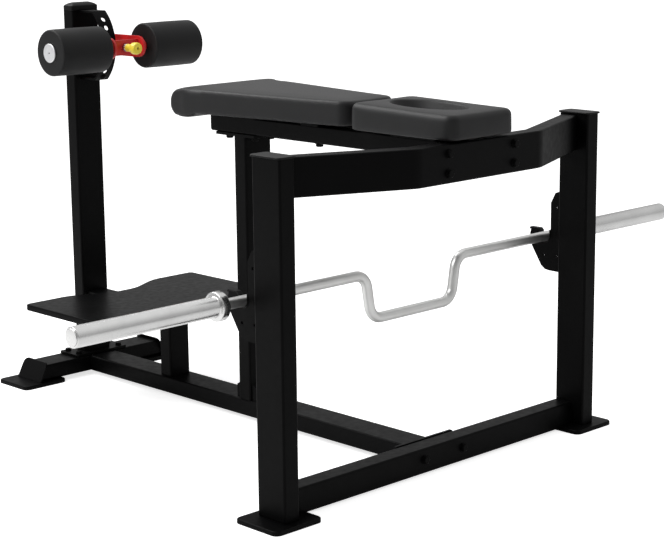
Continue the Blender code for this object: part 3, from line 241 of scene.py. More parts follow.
def powder_coat(name, base, roughness, specular, peel_height=0.12):
    """Satin powder coat with its faint orange peel."""
    material, shader, add = new_material(name)
    place = add("ShaderNodeTexCoord").outputs["Object"]
    cloud = add("ShaderNodeTexNoise", Vector=place, Scale=7.0, Detail=3.0)
    join(material, tint(add, spread(add, cloud.outputs["Fac"], 0.0, 1.0), shade(base, 0.8), shade(base, 1.25)),
         shader.inputs["Base Color"])
    patch = add("ShaderNodeTexNoise", Vector=place, Scale=55.0, Detail=2.0)
    join(material, spread(add, patch.outputs["Fac"], roughness - 0.04, roughness + 0.05),
         shader.inputs["Roughness"])
    peel = add("ShaderNodeTexNoise", Vector=place, Scale=620.0, Detail=2.0)
    relief(add, material, shader, peel.outputs["Fac"], peel_height, 0.0004)
    shader.inputs["Specular IOR Level"].default_value = specular
    return material


def vinyl(name, base):
    """Grained upholstery vinyl."""
    material, shader, add = new_material(name)
    place = add("ShaderNodeTexCoord").outputs["Object"]
    cloud = add("ShaderNodeTexNoise", Vector=place, Scale=9.0, Detail=3.0)
    join(material, tint(add, spread(add, cloud.outputs["Fac"], 0.0, 1.0), shade(base, 0.86), shade(base, 1.14)),
         shader.inputs["Base Color"])
    cells = add("ShaderNodeTexVoronoi", Vector=place, Scale=620.0)
    creases = add("ShaderNodeTexVoronoi", Vector=place, Scale=150.0)
    grain = add("ShaderNodeMath")
    grain.operation = "MULTIPLY_ADD"
    grain.inputs[1].default_value = 0.35
    join(material, creases.outputs["Distance"], grain.inputs[0])
    join(material, cells.outputs["Distance"], grain.inputs[2])
    relief(add, material, shader, grain.outputs[0], 0.22, 0.0003)
    join(material, spread(add, cells.outputs["Distance"], 0.40, 0.50, 0.0, 0.7), shader.inputs["Roughness"])
    shader.inputs["Specular IOR Level"].default_value = 0.30
    shader.inputs["Sheen Weight"].default_value = 0.03
    shader.inputs["Sheen Roughness"].default_value = 0.45
    return material


def foam_skin(name, base):
    """Closed cell foam with its smooth skin and fine pores."""
    material, shader, add = new_material(name)
    place = add("ShaderNodeTexCoord").outputs["Object"]
    cloud = add("ShaderNodeTexNoise", Vector=place, Scale=14.0, Detail=3.0)
    join(material, tint(add, spread(add, cloud.outputs["Fac"], 0.0, 1.0), shade(base, 0.85), shade(base, 1.18)),
         shader.inputs["Base Color"])
    pores = add("ShaderNodeTexVoronoi", Vector=place, Scale=900.0)
    relief(add, material, shader, pores.outputs["Distance"], 0.22, 0.0003)
    join(material, spread(add, cloud.outputs["Fac"], 0.50, 0.60), shader.inputs["Roughness"])
    shader.inputs["Specular IOR Level"].default_value = 0.26
    return material


def turned_metal(name, base, roughness, ring_scale):
    """Metal with fine turning marks round the X axis."""
    material, shader, add = new_material(name)
    place = add("ShaderNodeTexCoord").outputs["Object"]
    squeeze = add("ShaderNodeMapping", Vector=place)
    squeeze.inputs["Scale"].default_value = (ring_scale, 9.0, 9.0)
    marks = add("ShaderNodeTexNoise", Vector=squeeze.outputs["Vector"], Scale=1.0, Detail=3.0)
    cloud = add("ShaderNodeTexNoise", Vector=place, Scale=16.0, Detail=2.0)
    join(material, tint(add, spread(add, cloud.outputs["Fac"], 0.0, 1.0), shade(base, 0.95), shade(base, 1.04)),
         shader.inputs["Base Color"])
    join(material, spread(add, marks.outputs["Fac"], roughness - 0.02, roughness + 0.03),
         shader.inputs["Roughness"])
    relief(add, material, shader, marks.outputs["Fac"], 0.012, 0.0001)
    shader.inputs["Metallic"].default_value = 1.0
    return material


def faced_metal(name, base, roughness, axis_point):
    """Metal faced off in a lathe, with rings round an axis along X."""
    material, shader, add = new_material(name)
    place = add("ShaderNodeTexCoord").outputs["Object"]
    centre = add("ShaderNodeMapping", Vector=place)
    centre.inputs["Location"].default_value = (0.0, -axis_point[1], -axis_point[2])
    centre.inputs["Scale"].default_value = (0.02, 1.0, 1.0)
    rings = add("ShaderNodeTexWave", Vector=centre.outputs["Vector"], Scale=260.0, Distortion=0.6, Detail=2.0)
    rings.wave_type = "RINGS"
    rings.rings_direction = "X"
    cloud = add("ShaderNodeTexNoise", Vector=place, Scale=40.0, Detail=2.0)
    join(material, tint(add, spread(add, cloud.outputs["Fac"], 0.0, 1.0), shade(base, 0.94), shade(base, 1.05)),
         shader.inputs["Base Color"])
    join(material, spread(add, rings.outputs["Fac"], roughness - 0.04, roughness + 0.06, 0.0, 1.0),
         shader.inputs["Roughness"])
    relief(add, material, shader, rings.outputs["Fac"], 0.015, 0.0001)
    shader.inputs["Metallic"].default_value = 1.0
    return material


def moulding(name, base, roughness, specular):
    """Moulded plastic with a faint spark finish."""
    material, shader, add = new_material(name)
    place = add("ShaderNodeTexCoord").outputs["Object"]
    spark = add("ShaderNodeTexNoise", Vector=place, Scale=1400.0, Detail=1.0)
    cloud = add("ShaderNodeTexNoise", Vector=place, Scale=30.0, Detail=2.0)
    join(material, tint(add, spread(add, cloud.outputs["Fac"], 0.0, 1.0), shade(base, 0.9), shade(base, 1.1)),
         shader.inputs["Base Color"])
    join(material, spread(add, spark.outputs["Fac"], roughness - 0.03, roughness + 0.05),
         shader.inputs["Roughness"])
    relief(add, material, shader, spark.outputs["Fac"], 0.10, 0.0002)
    shader.inputs["Specular IOR Level"].default_value = specular
    return material


def black_oxide(name):
    """Blackened steel of the fasteners."""
    material, shader, add = new_material(name)
    place = add("ShaderNodeTexCoord").outputs["Object"]
    cloud = add("ShaderNodeTexNoise", Vector=place, Scale=220.0, Detail=3.0)
    join(material, tint(add, spread(add, cloud.outputs["Fac"], 0.0, 1.0), (0.002, 0.002, 0.002),
                        (0.005, 0.005, 0.005)), shader.inputs["Base Color"])
    join(material, spread(add, cloud.outputs["Fac"], 0.36, 0.48), shader.inputs["Roughness"])
    relief(add, material, shader, cloud.outputs["Fac"], 0.05, 0.0002)
    shader.inputs["Specular IOR Level"].default_value = 0.05
    return material


def finish_once(name, build):
    """A finish that several pieces share."""
    return bpy.data.materials.get(name) or build()


def paint_finish():
    """The black powder coat of the frame."""
    settings = bpy.context.scene.deltoid_frame
    return finish_once("black_powder_coat",
                       lambda: powder_coat("black_powder_coat", tuple(settings.paint), 0.42, 0.065))


def oxide_finish():
    """The finish of all bolts."""
    return finish_once("black_oxide", lambda: black_oxide("black_oxide"))


def plastic_finish():
    """The finish of the caps and liners."""
    settings = bpy.context.scene.deltoid_frame
    return finish_once("black_moulding",
                       lambda: moulding("black_moulding", tuple(settings.plastic), 0.42, 0.16))


def vinyl_finish():
    """The cover of both pads."""
    settings = bpy.context.scene.deltoid_pads
    return finish_once("pad_vinyl", lambda: vinyl("pad_vinyl", tuple(settings.vinyl)))


def link_piece(name, bm, material, body, nodes=()):
    """Put a finished shape into the scene, hang it on its body and hide the CAD nodes it stands in for."""
    mesh = bpy.data.meshes.new(name)
    bm.to_mesh(mesh)
    bm.free()
    mesh.materials.append(material)
    piece = bpy.data.objects.new(name, mesh)
    bpy.context.scene.collection.objects.link(piece)
    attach(piece, body)
    if nodes:
        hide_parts(*nodes)
    return piece


def smooth(piece, angle):
    """Smooth shading with crisp edges over an angle in degrees."""
    piece.data.shade_smooth()
    piece.data.set_sharp_from_angle(angle=math.radians(angle))


def even_normals(piece):
    """Keep flat faces flat beside their rounded edges."""
    weight = piece.modifiers.new("even", "WEIGHTED_NORMAL")
    weight.keep_sharp = True
    weight.weight = 80


def settle(piece):
    """Apply a piece's modifiers."""
    bpy.context.view_layer.update()
    graph = bpy.context.evaluated_depsgraph_get()
    mesh = bpy.data.meshes.new_from_object(piece.evaluated_get(graph))
    piece.modifiers.clear()
    old = piece.data
    piece.data = mesh
    bpy.data.meshes.remove(old)


def merged_copy(node):
    """A CAD node's mesh with its loose triangles joined and its flat faces made whole."""
    bm = bmesh.new()
    bm.from_mesh(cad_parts[node].data)
    bmesh.ops.remove_doubles(bm, verts=bm.verts, dist=0.00002)
    bmesh.ops.dissolve_degenerate(bm, dist=0.00001, edges=bm.edges)
    bmesh.ops.dissolve_limit(bm, angle_limit=math.radians(0.3), verts=bm.verts, edges=bm.edges)
    return bm


def sharp_edges(bm, angle):
    """Edges between two faces that meet at more than an angle in degrees."""
    return [edge for edge in bm.edges if len(edge.link_faces) == 2
            and edge.calc_face_angle(0.0) > math.radians(angle)]


def rounded_copy(node, edge, angle=42):
    """A merged copy whose cut edges are rounded a little."""
    bm = merged_copy(node)
    bmesh.ops.bevel(bm, geom=sharp_edges(bm, angle), offset=edge, segments=2, profile=0.5, affect="EDGES",
                    material=-1, clamp_overlap=True)
    return bm


def turned_shape(profile, centre, direction, steps=96):
    """Spin a profile of (radius, distance) points round an axis along X through a centre."""
    bm = bmesh.new()
    corners = [bm.verts.new((centre[0] + direction * along, centre[1] + radius, centre[2]))
               for radius, along in profile]
    edges = [bm.edges.new(pair) for pair in zip(corners, corners[1:])]
    bmesh.ops.spin(bm, geom=corners + edges, cent=centre, axis=(1.0, 0.0, 0.0), angle=2 * math.pi, steps=steps,
                   use_merge=True)
    bmesh.ops.remove_doubles(bm, verts=bm.verts, dist=0.00001)
    bmesh.ops.recalc_face_normals(bm, faces=bm.faces)
    return bm


def quarter(radius, along, edge, steps, towards):
    """Profile points round an outer edge; towards is the way the end face looks."""
    turns = [math.pi / 2 * step / steps for step in range(steps + 1)]
    if towards > 0:
        return [(radius - edge + edge * math.cos(turn), along - edge + edge * math.sin(turn)) for turn in turns]
    return [(radius - edge + edge * math.sin(turn), along + edge - edge * math.cos(turn)) for turn in turns]


def shell_join(piece, voxel):
    """Fuse overlapping closed shells into one even skin."""
    remesh = piece.modifiers.new("skin", "REMESH")
    remesh.mode = "VOXEL"
    remesh.voxel_size = voxel
    settle(piece)


def plump(piece, cap, floor_height, pressure=4.0, even_rounds=40):
    """Let the foam push the cover out with Cloth, hold each point within a cap and even out the folds."""
    start = [vertex.co.copy() for vertex in piece.data.vertices]
    base = piece.vertex_groups.new(name="base")
    base.add([i for i, co in enumerate(start) if co.z < floor_height], 1.0, "REPLACE")
    cloth = piece.modifiers.new("cover", "CLOTH")
    cloth.settings.use_pressure = True
    cloth.settings.uniform_pressure_force = pressure
    cloth.settings.effector_weights.gravity = 0.0
    cloth.settings.vertex_group_mass = "base"
    cloth.settings.tension_stiffness = cloth.settings.compression_stiffness = 18.0
    cloth.settings.bending_stiffness = 2.0
    scene = bpy.context.scene
    for step in range(1, SWELL_FRAMES + 1):
        scene.frame_set(step)
    settle(piece)
    scene.frame_set(1)
    piece.vertex_groups.clear()
    before = np.array(start)
    moves = np.array([vertex.co for vertex in piece.data.vertices]) - before
    lengths = np.linalg.norm(moves, axis=1, keepdims=True)
    moves *= cap / np.maximum(lengths, cap)
    ends = np.array([edge.vertices for edge in piece.data.edges])
    neighbours = np.bincount(ends.ravel(), minlength=len(before))[:, None]
    for _ in range(even_rounds):
        total = np.zeros_like(moves)
        np.add.at(total, ends[:, 0], moves[ends[:, 1]])
        np.add.at(total, ends[:, 1], moves[ends[:, 0]])
        moves = total / neighbours
    for vertex, place in zip(piece.data.vertices, before + moves):
        vertex.co = place


def relax(piece, rounds, chosen=None):
    """Even out the skin, everywhere or where a test picks its points."""
    bm = bmesh.new()
    bm.from_mesh(piece.data)
    points = [vertex for vertex in bm.verts if chosen is None or chosen(vertex.co)]
    for _ in range(rounds):
        bmesh.ops.smooth_vert(bm, verts=points, factor=0.5, use_axis_x=True, use_axis_y=True, use_axis_z=True)
    bm.to_mesh(piece.data)
    bm.free()


def refine(piece):
    """Divide a skin once and smooth it."""
    finer = piece.modifiers.new("finer", "SUBSURF")
    finer.levels = finer.render_levels = 1
    settle(piece)


def fit_box(piece, low, high):
    """Stretch a piece until it fills its box."""
    points = piece.data.vertices
    for axis in range(3):
        least = min(vertex.co[axis] for vertex in points)
        most = max(vertex.co[axis] for vertex in points)
        grow = (high[axis] - low[axis]) / (most - least)
        for vertex in points:
            vertex.co[axis] = low[axis] + (vertex.co[axis] - least) * grow


def roll_block(settings, centre, half_long, inset, slope):
    """The squarish roll at the wide end of the long pad; its ends follow the pad's tapered sides."""
    bm = bmesh.new()
    radius = settings.roll_deep
    bmesh.ops.create_cone(bm, cap_ends=True, segments=96, radius1=radius, radius2=radius,
                          depth=2 * (half_long - inset), matrix=Matrix.Rotation(math.pi / 2, 4, "Y"))
    rim = [edge for edge in bm.edges if abs(edge.verts[0].co.x - edge.verts[1].co.x) < 1e-6]
    bmesh.ops.bevel(bm, geom=rim, offset=settings.roll_end, segments=6, profile=0.5, affect="EDGES",
                    material=-1)
    power = settings.roll_square
    for vertex in bm.verts:
        out = math.hypot(vertex.co.y, vertex.co.z) / radius
        turn = math.atan2(vertex.co.z, vertex.co.y)
        across, upward = math.cos(turn), math.sin(turn)
        reach = out * (abs(across) ** power + abs(upward) ** power) ** (-1 / power)
        vertex.co.y = (settings.roll_deep - inset) * across * reach
        vertex.co.z = (settings.roll_tall - inset) * upward * reach
        vertex.co.x -= math.copysign(slope * min(vertex.co.y, 0.0), vertex.co.x)
    bmesh.ops.translate(bm, verts=bm.verts, vec=centre)
    return bm


def add_shape(bm, other):
    """Put a second shape into the first one's mesh."""
    mesh = bpy.data.meshes.new("second_shape")
    other.to_mesh(mesh)
    other.free()
    bm.from_mesh(mesh)
    bpy.data.meshes.remove(mesh)


def pad_block(low, high, front_half, rear_half, radii, edge):
    """A tapered block with rounded upright corners, front ones first, and a rounded top edge."""
    bm = bmesh.new()
    bmesh.ops.create_cube(bm, size=1.0)
    centre, size = (low + high) / 2, high - low
    for vertex in bm.verts:
        half = front_half if vertex.co.y < 0 else rear_half
        vertex.co = Vector((centre.x + 2 * half * vertex.co.x, centre.y + size.y * vertex.co.y,
                            centre.z + size.z * vertex.co.z))
    for radius, sign in zip(radii, (-1, 1)):
        upright = [e for e in bm.edges if abs(e.verts[0].co.z - e.verts[1].co.z) > 0.01
                   and all(sign * (v.co.y - centre.y) > size.y * 0.45 for v in e.verts)]
        bmesh.ops.bevel(bm, geom=upright, offset=radius, segments=10, profile=0.5, affect="EDGES", material=-1)
    top = [e for e in bm.edges if all(abs(v.co.z - high.z) < 1e-5 for v in e.verts)]
    bmesh.ops.bevel(bm, geom=top, offset=edge, segments=6, profile=0.5, affect="EDGES", material=-1)
    foot = [e for e in bm.edges if all(abs(v.co.z - low.z) < 1e-5 for v in e.verts)]
    bmesh.ops.bevel(bm, geom=foot, offset=edge * 0.4, segments=3, profile=0.5, affect="EDGES", material=-1)
    return bm


class MachineOperator:
    """Shared settings of the operators."""
    bl_options = {"REGISTER", "UNDO"}


class DELTOID_OT_frame(MachineOperator, bpy.types.Operator):
    """Round the cut edges of the steelwork and coat it in satin black"""
    bl_idname = "deltoid.frame"
    bl_label = "Steel frame"

    def execute(self, context):
        settings = context.scene.deltoid_frame
        for node in PAINTED:
            piece = link_piece(f"{node}_coated", rounded_copy(node, settings.edge), paint_finish(), "frame",
                               (node,))
            smooth(piece, 40)
            even_normals(piece)
        return {"FINISHED"}


class DELTOID_OT_fasteners(MachineOperator, bpy.types.Operator):
    """Give every bolt its blackened finish"""
    bl_idname = "deltoid.fasteners"
    bl_label = "Fasteners"

    def execute(self, context):
        for node in FASTENERS:
            piece = link_piece(f"{node}_blackened", rounded_copy(node, BOLT_EDGE, BOLT_ANGLE), oxide_finish(),
                               "frame", (node,))
            smooth(piece, 35)
            even_normals(piece)
        return {"FINISHED"}


class DELTOID_OT_mouldings(MachineOperator, bpy.types.Operator):
    """Round the plastic caps and rest liners"""
    bl_idname = "deltoid.mouldings"
    bl_label = "Caps and liners"

    def execute(self, context):
        for node in MOULDED:
            piece = link_piece(f"{node}_moulded", rounded_copy(node, MOULDED_EDGE, MOULDED_ANGLE),
                               plastic_finish(), "frame", (node,))
            smooth(piece, 45)
            even_normals(piece)
        return {"FINISHED"}


class DELTOID_OT_step(MachineOperator, bpy.types.Operator):
    """Foot step with a smoother, glossier coat on its plate"""
    bl_idname = "deltoid.step"
    bl_label = "Foot step"

    def execute(self, context):
        finish = powder_coat("step_coat", (0.0032, 0.0032, 0.0033), 0.34, 0.040, 0.02)
        piece = link_piece("step_plate_coated", merged_copy("step_plate"), finish, "frame",
                           ("step_plate",))
        smooth(piece, 40)
        even_normals(piece)
        return {"FINISHED"}


class DELTOID_OT_long_pad(MachineOperator, bpy.types.Operator):
    """Tapered chest pad with its full width roll"""
    bl_idname = "deltoid.long_pad"
    bl_label = "Long pad"

    def execute(self, context):
        settings = context.scene.deltoid_pads
        low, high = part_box("long_pad")
        base = low.z + settings.roll_below
        axis = Vector(((low.x + high.x) / 2, high.y - settings.roll_deep, high.z - settings.roll_tall))
        inset = COVER_INSET
        body_low = Vector((low.x, low.y + inset, base))
        body_high = Vector((high.x, axis.y, base + settings.body_thick))
        bm = pad_block(body_low, body_high, settings.front_width / 2 - inset, settings.rear_width / 2 - inset,
                       (settings.body_corner, 0.001), settings.edge)
        for vertex in bm.verts:
            if vertex.co.z > base + settings.body_thick / 2:
                vertex.co.z += settings.body_rise * (vertex.co.y - body_low.y) / (axis.y - body_low.y)
        slope = (settings.rear_width - settings.front_width) / 2 / (axis.y - body_low.y)
        add_shape(bm, roll_block(settings, axis, (high.x - low.x) / 2, inset, slope))
        piece = link_piece("long_pad_cover", bm, vinyl_finish(), "frame", ("long_pad",))
        shell_join(piece, LONG_PAD_SKIN)
        relax(piece, 1)
        seam = axis.y - settings.roll_deep * SEAM_PLACE
        relax(piece, 14, lambda co: abs(co.y - seam) < SEAM_REACH and co.z > axis.z)
        relax(piece, 8, lambda co: abs(co.y - axis.y) < END_REACH and abs(co.x - axis.x) > END_START)
        plump(piece, settings.swell, base + STAPLED)
        relax(piece, 1)
        refine(piece)
        swell = settings.roll_swell
        fit_box(piece, low - Vector((swell, 0.0, 0.0)), high + Vector((swell, swell, 0.0)))
        piece.data.shade_smooth()
        return {"FINISHED"}


class DELTOID_OT_face_pad(MachineOperator, bpy.types.Operator):
    """Square face pad with its oval recess"""
    bl_idname = "deltoid.face_pad"
    bl_label = "Face pad"

    def execute(self, context):
        settings = context.scene.deltoid_pads
        low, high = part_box("face_pad")
        inset = COVER_INSET
        body_low = Vector((low.x, low.y + inset, low.z))
        body_high = Vector((high.x, high.y - inset, high.z - 0.004))
        half = (high.x - low.x) / 2 - inset
        corner = settings.face_corner
        bm = pad_block(body_low, body_high, half, half, (corner, corner), settings.face_edge)
        piece = link_piece("face_pad_cover", bm, vinyl_finish(), "frame", ("face_pad",))
        bowl = bmesh.new()
        bmesh.ops.create_cone(bowl, cap_ends=True, segments=96, radius1=settings.recess_floor, radius2=1.0,
                              depth=1.0)
        bmesh.ops.scale(bowl, verts=bowl.verts, vec=(settings.recess_width / 2, settings.recess_length / 2,
                                                     settings.recess_depth))
        centre = Vector(((low.x + high.x) / 2, low.y + settings.recess_place,
                         high.z - settings.recess_depth / 2))
        bmesh.ops.translate(bowl, verts=bowl.verts, vec=centre)
        rim = [edge for edge in bowl.edges if all(vertex.co.z < centre.z for vertex in edge.verts)]
        bmesh.ops.bevel(bowl, geom=rim, offset=settings.recess_round, segments=6, profile=0.5, affect="EDGES",
                        material=-1)
        mesh = bpy.data.meshes.new("recess_cutter")
        bowl.to_mesh(mesh)
        bowl.free()
        cutter = bpy.data.objects.new("recess_cutter", mesh)
        context.scene.collection.objects.link(cutter)
        cut = piece.modifiers.new("recess", "BOOLEAN")
        cut.operation = "DIFFERENCE"
        cut.object = cutter
        settle(piece)
        bpy.data.objects.remove(cutter, do_unlink=True)
        shell_join(piece, FACE_PAD_SKIN)
        relax(piece, 3)
        plump(piece, settings.swell * 0.8, low.z + STAPLED)
        refine(piece)
        fit_box(piece, low, high)
        middle = (low + high) / 2
        for vertex in piece.data.vertices:
            rise = (vertex.co.z - low.z) / (high.z - low.z)
            vertex.co.z += settings.face_tilt * rise * (vertex.co.y - middle.y) / (high.y - middle.y)
        piece.data.shade_smooth()
        return {"FINISHED"}


class DELTOID_OT_rollers(MachineOperator, bpy.types.Operator):
    """Foam rollers with soft ends"""
    bl_idname = "deltoid.rollers"
    bl_label = "Foam rollers"

    def execute(self, context):
        settings = context.scene.deltoid_rollers
        skin = foam_skin("roller_foam", tuple(settings.foam))
        for side, sign in zip(SIDES, (-1, 1)):
            node = f"roller_{side}"
            low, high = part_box(node)
            centre = (low + high) / 2
            half, radius = (high.x - low.x) / 2, (high.z - low.z) / 2
            profile = [(ROLLER_BORE, half - 0.001), (ROLLER_RING, half)]
            profile += quarter(radius, half, settings.edge, 8, 1)[::-1]
            profile += [(radius + 0.0005, half * 0.4), (radius + 0.0006, 0.0), (radius + 0.0005, -half * 0.4)]
            profile += quarter(radius, -half, settings.edge, 8, -1)[::-1]
            profile += [(ROLLER_RING, -half), (ROLLER_BORE, -half + 0.001), (ROLLER_BORE, half - 0.001)]
            piece = link_piece(f"{node}_foam", turned_shape(profile, centre, sign), skin, node,
                               (node,))
            smooth(piece, 40)
        return {"FINISHED"}


class DELTOID_OT_roller_caps(MachineOperator, bpy.types.Operator):
    """Turned end caps with their centre screws"""
    bl_idname = "deltoid.roller_caps"
    bl_label = "Roller end caps"

    def execute(self, context):
        settings = context.scene.deltoid_rollers
        for side, sign in zip(SIDES, (-1, 1)):
            node = f"roller_cap_{side}"
            low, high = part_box(node)
            centre = (low + high) / 2
            thick, radius = high.x - low.x, (high.z - low.z) / 2
            inner = Vector((low.x if sign > 0 else high.x, centre.y, centre.z))
            profile = [(0.0, thick - DIMPLE_DEPTH), (DIMPLE_RADIUS, thick - DIMPLE_DEPTH),
                       (DIMPLE_RADIUS + 0.0006, thick)]
            profile += quarter(radius, thick, CAP_ROUND, 6, 1)[::-1]
            profile += [(radius, 0.0006), (radius - 0.0006, 0.0), (0.0, 0.0)]
            bright = faced_metal(f"cap_face_{side}", tuple(settings.cap), 0.46, centre)
            piece = link_piece(f"{node}_turned", turned_shape(profile, inner, sign), bright, "roller_arm",
                               (node,))
            smooth(piece, 40)
            head = [(0.0, thick - 0.0008), (0.0020, thick - 0.0008), (SCREW_RADIUS, thick - 0.0014),
                    (SCREW_RADIUS, thick - 0.0030), (0.0, thick - 0.0030)]
            screw = link_piece(f"{node}_screw", turned_shape(head, inner, sign, 48), oxide_finish(),
                               "roller_arm")
            smooth(screw, 40)
        return {"FINISHED"}


class DELTOID_OT_arm(MachineOperator, bpy.types.Operator):
    """Red roller arm"""
    bl_idname = "deltoid.arm"
    bl_label = "Roller arm"

    def execute(self, context):
        settings = context.scene.deltoid_frame
        coat = powder_coat("red_powder_coat", tuple(settings.arm_paint), 0.34, 0.40)
        piece = link_piece("roller_fork_coated", rounded_copy("roller_fork", settings.edge), coat, "roller_arm",
                           ("roller_fork",))
        smooth(piece, 40)
        even_normals(piece)
        return {"FINISHED"}


class DELTOID_OT_pull_pin(MachineOperator, bpy.types.Operator):
    """Pull pin with its barrel and yellow grip"""
    bl_idname = "deltoid.pull_pin"
    bl_label = "Pull pin"

    def execute(self, context):
        settings = context.scene.deltoid_rollers
        grip = moulding("yellow_moulding", tuple(settings.knob), 0.32, 0.5)
        steel = turned_metal("pin_steel", (0.30, 0.30, 0.31), 0.34, 40.0)
        bright = turned_metal("barrel_steel", (0.50, 0.50, 0.50), 0.36, 40.0)
        for node, finish, body, slot in (("pin_knob", grip, "pull_pin", "yellow_plastic"),
                                         ("pin_plunger", steel, "pull_pin", "dark_steel"),
                                         ("pin_barrel", bright, "roller_arm", "bright_cap")):
            piece = link_piece(f"{node}_finished", rounded_copy(node, BOLT_EDGE, MOULDED_ANGLE), finish, body,
                               (node,))
            smooth(piece, 45)
            even_normals(piece)
        return {"FINISHED"}


def bar_path(settings, centre, half):
    """Centre line of the bar: straight ends, two cambered bends and their radii."""
    corners = [(-half, 0.0), (-settings.upper_bend, 0.0), (-settings.lower_bend, -settings.drop),
               (settings.lower_bend, -settings.drop), (settings.upper_bend, 0.0), (half, 0.0)]
    points = [Vector(corners[0])]
    for before, corner, after in zip(corners, corners[1:], corners[2:]):
        corner = Vector(corner)
        back, ahead = (Vector(before) - corner).normalized(), (Vector(after) - corner).normalized()
        bend = back.angle(ahead) / 2
        middle = corner + (back + ahead).normalized() * (settings.bend_radius / math.sin(bend))
        start = corner + back * (settings.bend_radius / math.tan(bend)) - middle
        end = corner + ahead * (settings.bend_radius / math.tan(bend)) - middle
        first = math.atan2(start.y, start.x)
        sweep = (math.atan2(end.y, end.x) - first + math.pi) % (2 * math.pi) - math.pi
        for step in range(BEND_STEPS + 1):
            turn = first + sweep * step / BEND_STEPS
            points.append(middle + Vector((math.cos(turn), math.sin(turn))) * settings.bend_radius)
    points.append(Vector(corners[-1]))
    return [centre + Vector((point.x, 0.0, point.y)) for point in points]


class DELTOID_OT_bar(MachineOperator, bpy.types.Operator):
    """Cambered bar in satin chrome"""
    bl_idname = "deltoid.bar"
    bl_label = "Cambered bar"

    def execute(self, context):
        settings = context.scene.deltoid_bar
        low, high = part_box("bar_shaft")
        radius = (high.y - low.y) / 2
        centre = Vector(((low.x + high.x) / 2, (low.y + high.y) / 2, high.z - radius))
        wire = bpy.data.curves.new("bar_line", "CURVE")
        wire.dimensions = "3D"
        wire.bevel_depth = radius
        wire.bevel_resolution = 14
        wire.use_fill_caps = True
        path = bar_path(settings, centre, (high.x - low.x) / 2)
        spline = wire.splines.new("POLY")
        spline.points.add(len(path) - 1)
        for knot, point in zip(spline.points, path):
            knot.co = (*point, 1.0)
        line = bpy.data.objects.new("bar_line", wire)
        context.scene.collection.objects.link(line)
        context.view_layer.update()
        mesh = bpy.data.meshes.new_from_object(line.evaluated_get(context.evaluated_depsgraph_get()))
        bm = bmesh.new()
        bm.from_mesh(mesh)
        bmesh.ops.remove_doubles(bm, verts=bm.verts, dist=0.00001)
        bpy.data.objects.remove(line, do_unlink=True)
        bpy.data.curves.remove(wire)
        bpy.data.meshes.remove(mesh)
        chrome = turned_metal("bar_chrome", tuple(settings.chrome), 0.42, 160.0)
        piece = link_piece("bar_shaft_chromed", bm, chrome, "bar", ("bar_shaft",))
        smooth(piece, 40)
        return {"FINISHED"}


class DELTOID_OT_sleeves(MachineOperator, bpy.types.Operator):
    """Turning sleeves with their collars"""
    bl_idname = "deltoid.sleeves"
    bl_label = "Bar sleeves"

    def execute(self, context):
        settings = context.scene.deltoid_bar
        chrome = turned_metal("sleeve_chrome", tuple(settings.sleeve), 0.24, 160.0)
        for side, sign in zip(SIDES, (-1, 1)):
            node = f"bar_sleeve_{side}"
            low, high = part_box(node)
            centre = (low + high) / 2
            long, collar = high.x - low.x, (high.z - low.z) / 2
            inner = Vector((low.x if sign > 0 else high.x, centre.y, centre.z))
            radius, thick, end = SLEEVE_RADIUS, COLLAR_THICK, long - DISC_HEIGHT
            profile = [(0.0, long), (SLEEVE_RING, long)]
            profile += quarter(DISC_RADIUS, long, DISC_ROUND, 3, 1)[::-1][1:]
            profile += [(DISC_RADIUS, end), (radius - SLEEVE_END_ROUND, end)]
            profile += quarter(radius, end, SLEEVE_END_ROUND, 4, 1)[::-1][1:]
            profile += [(radius, thick + 0.0025), (radius + 0.0008, thick + 0.0009), (radius + 0.0024, thick)]
            profile += quarter(collar, thick, COLLAR_ROUND, 5, 1)[::-1]
            profile += quarter(collar, 0.0, COLLAR_ROUND, 5, -1)[::-1]
            profile += [(SLEEVE_RING, 0.0), (SLEEVE_RING, 0.0022), (SLEEVE_BORE, 0.0022),
                        (SLEEVE_BORE, SLEEVE_BORE_DEPTH)]
            piece = link_piece(f"{node}_chromed", turned_shape(profile, inner, sign), chrome, f"sleeve_{side}",
                               (node,))
            smooth(piece, 35)
        return {"FINISHED"}


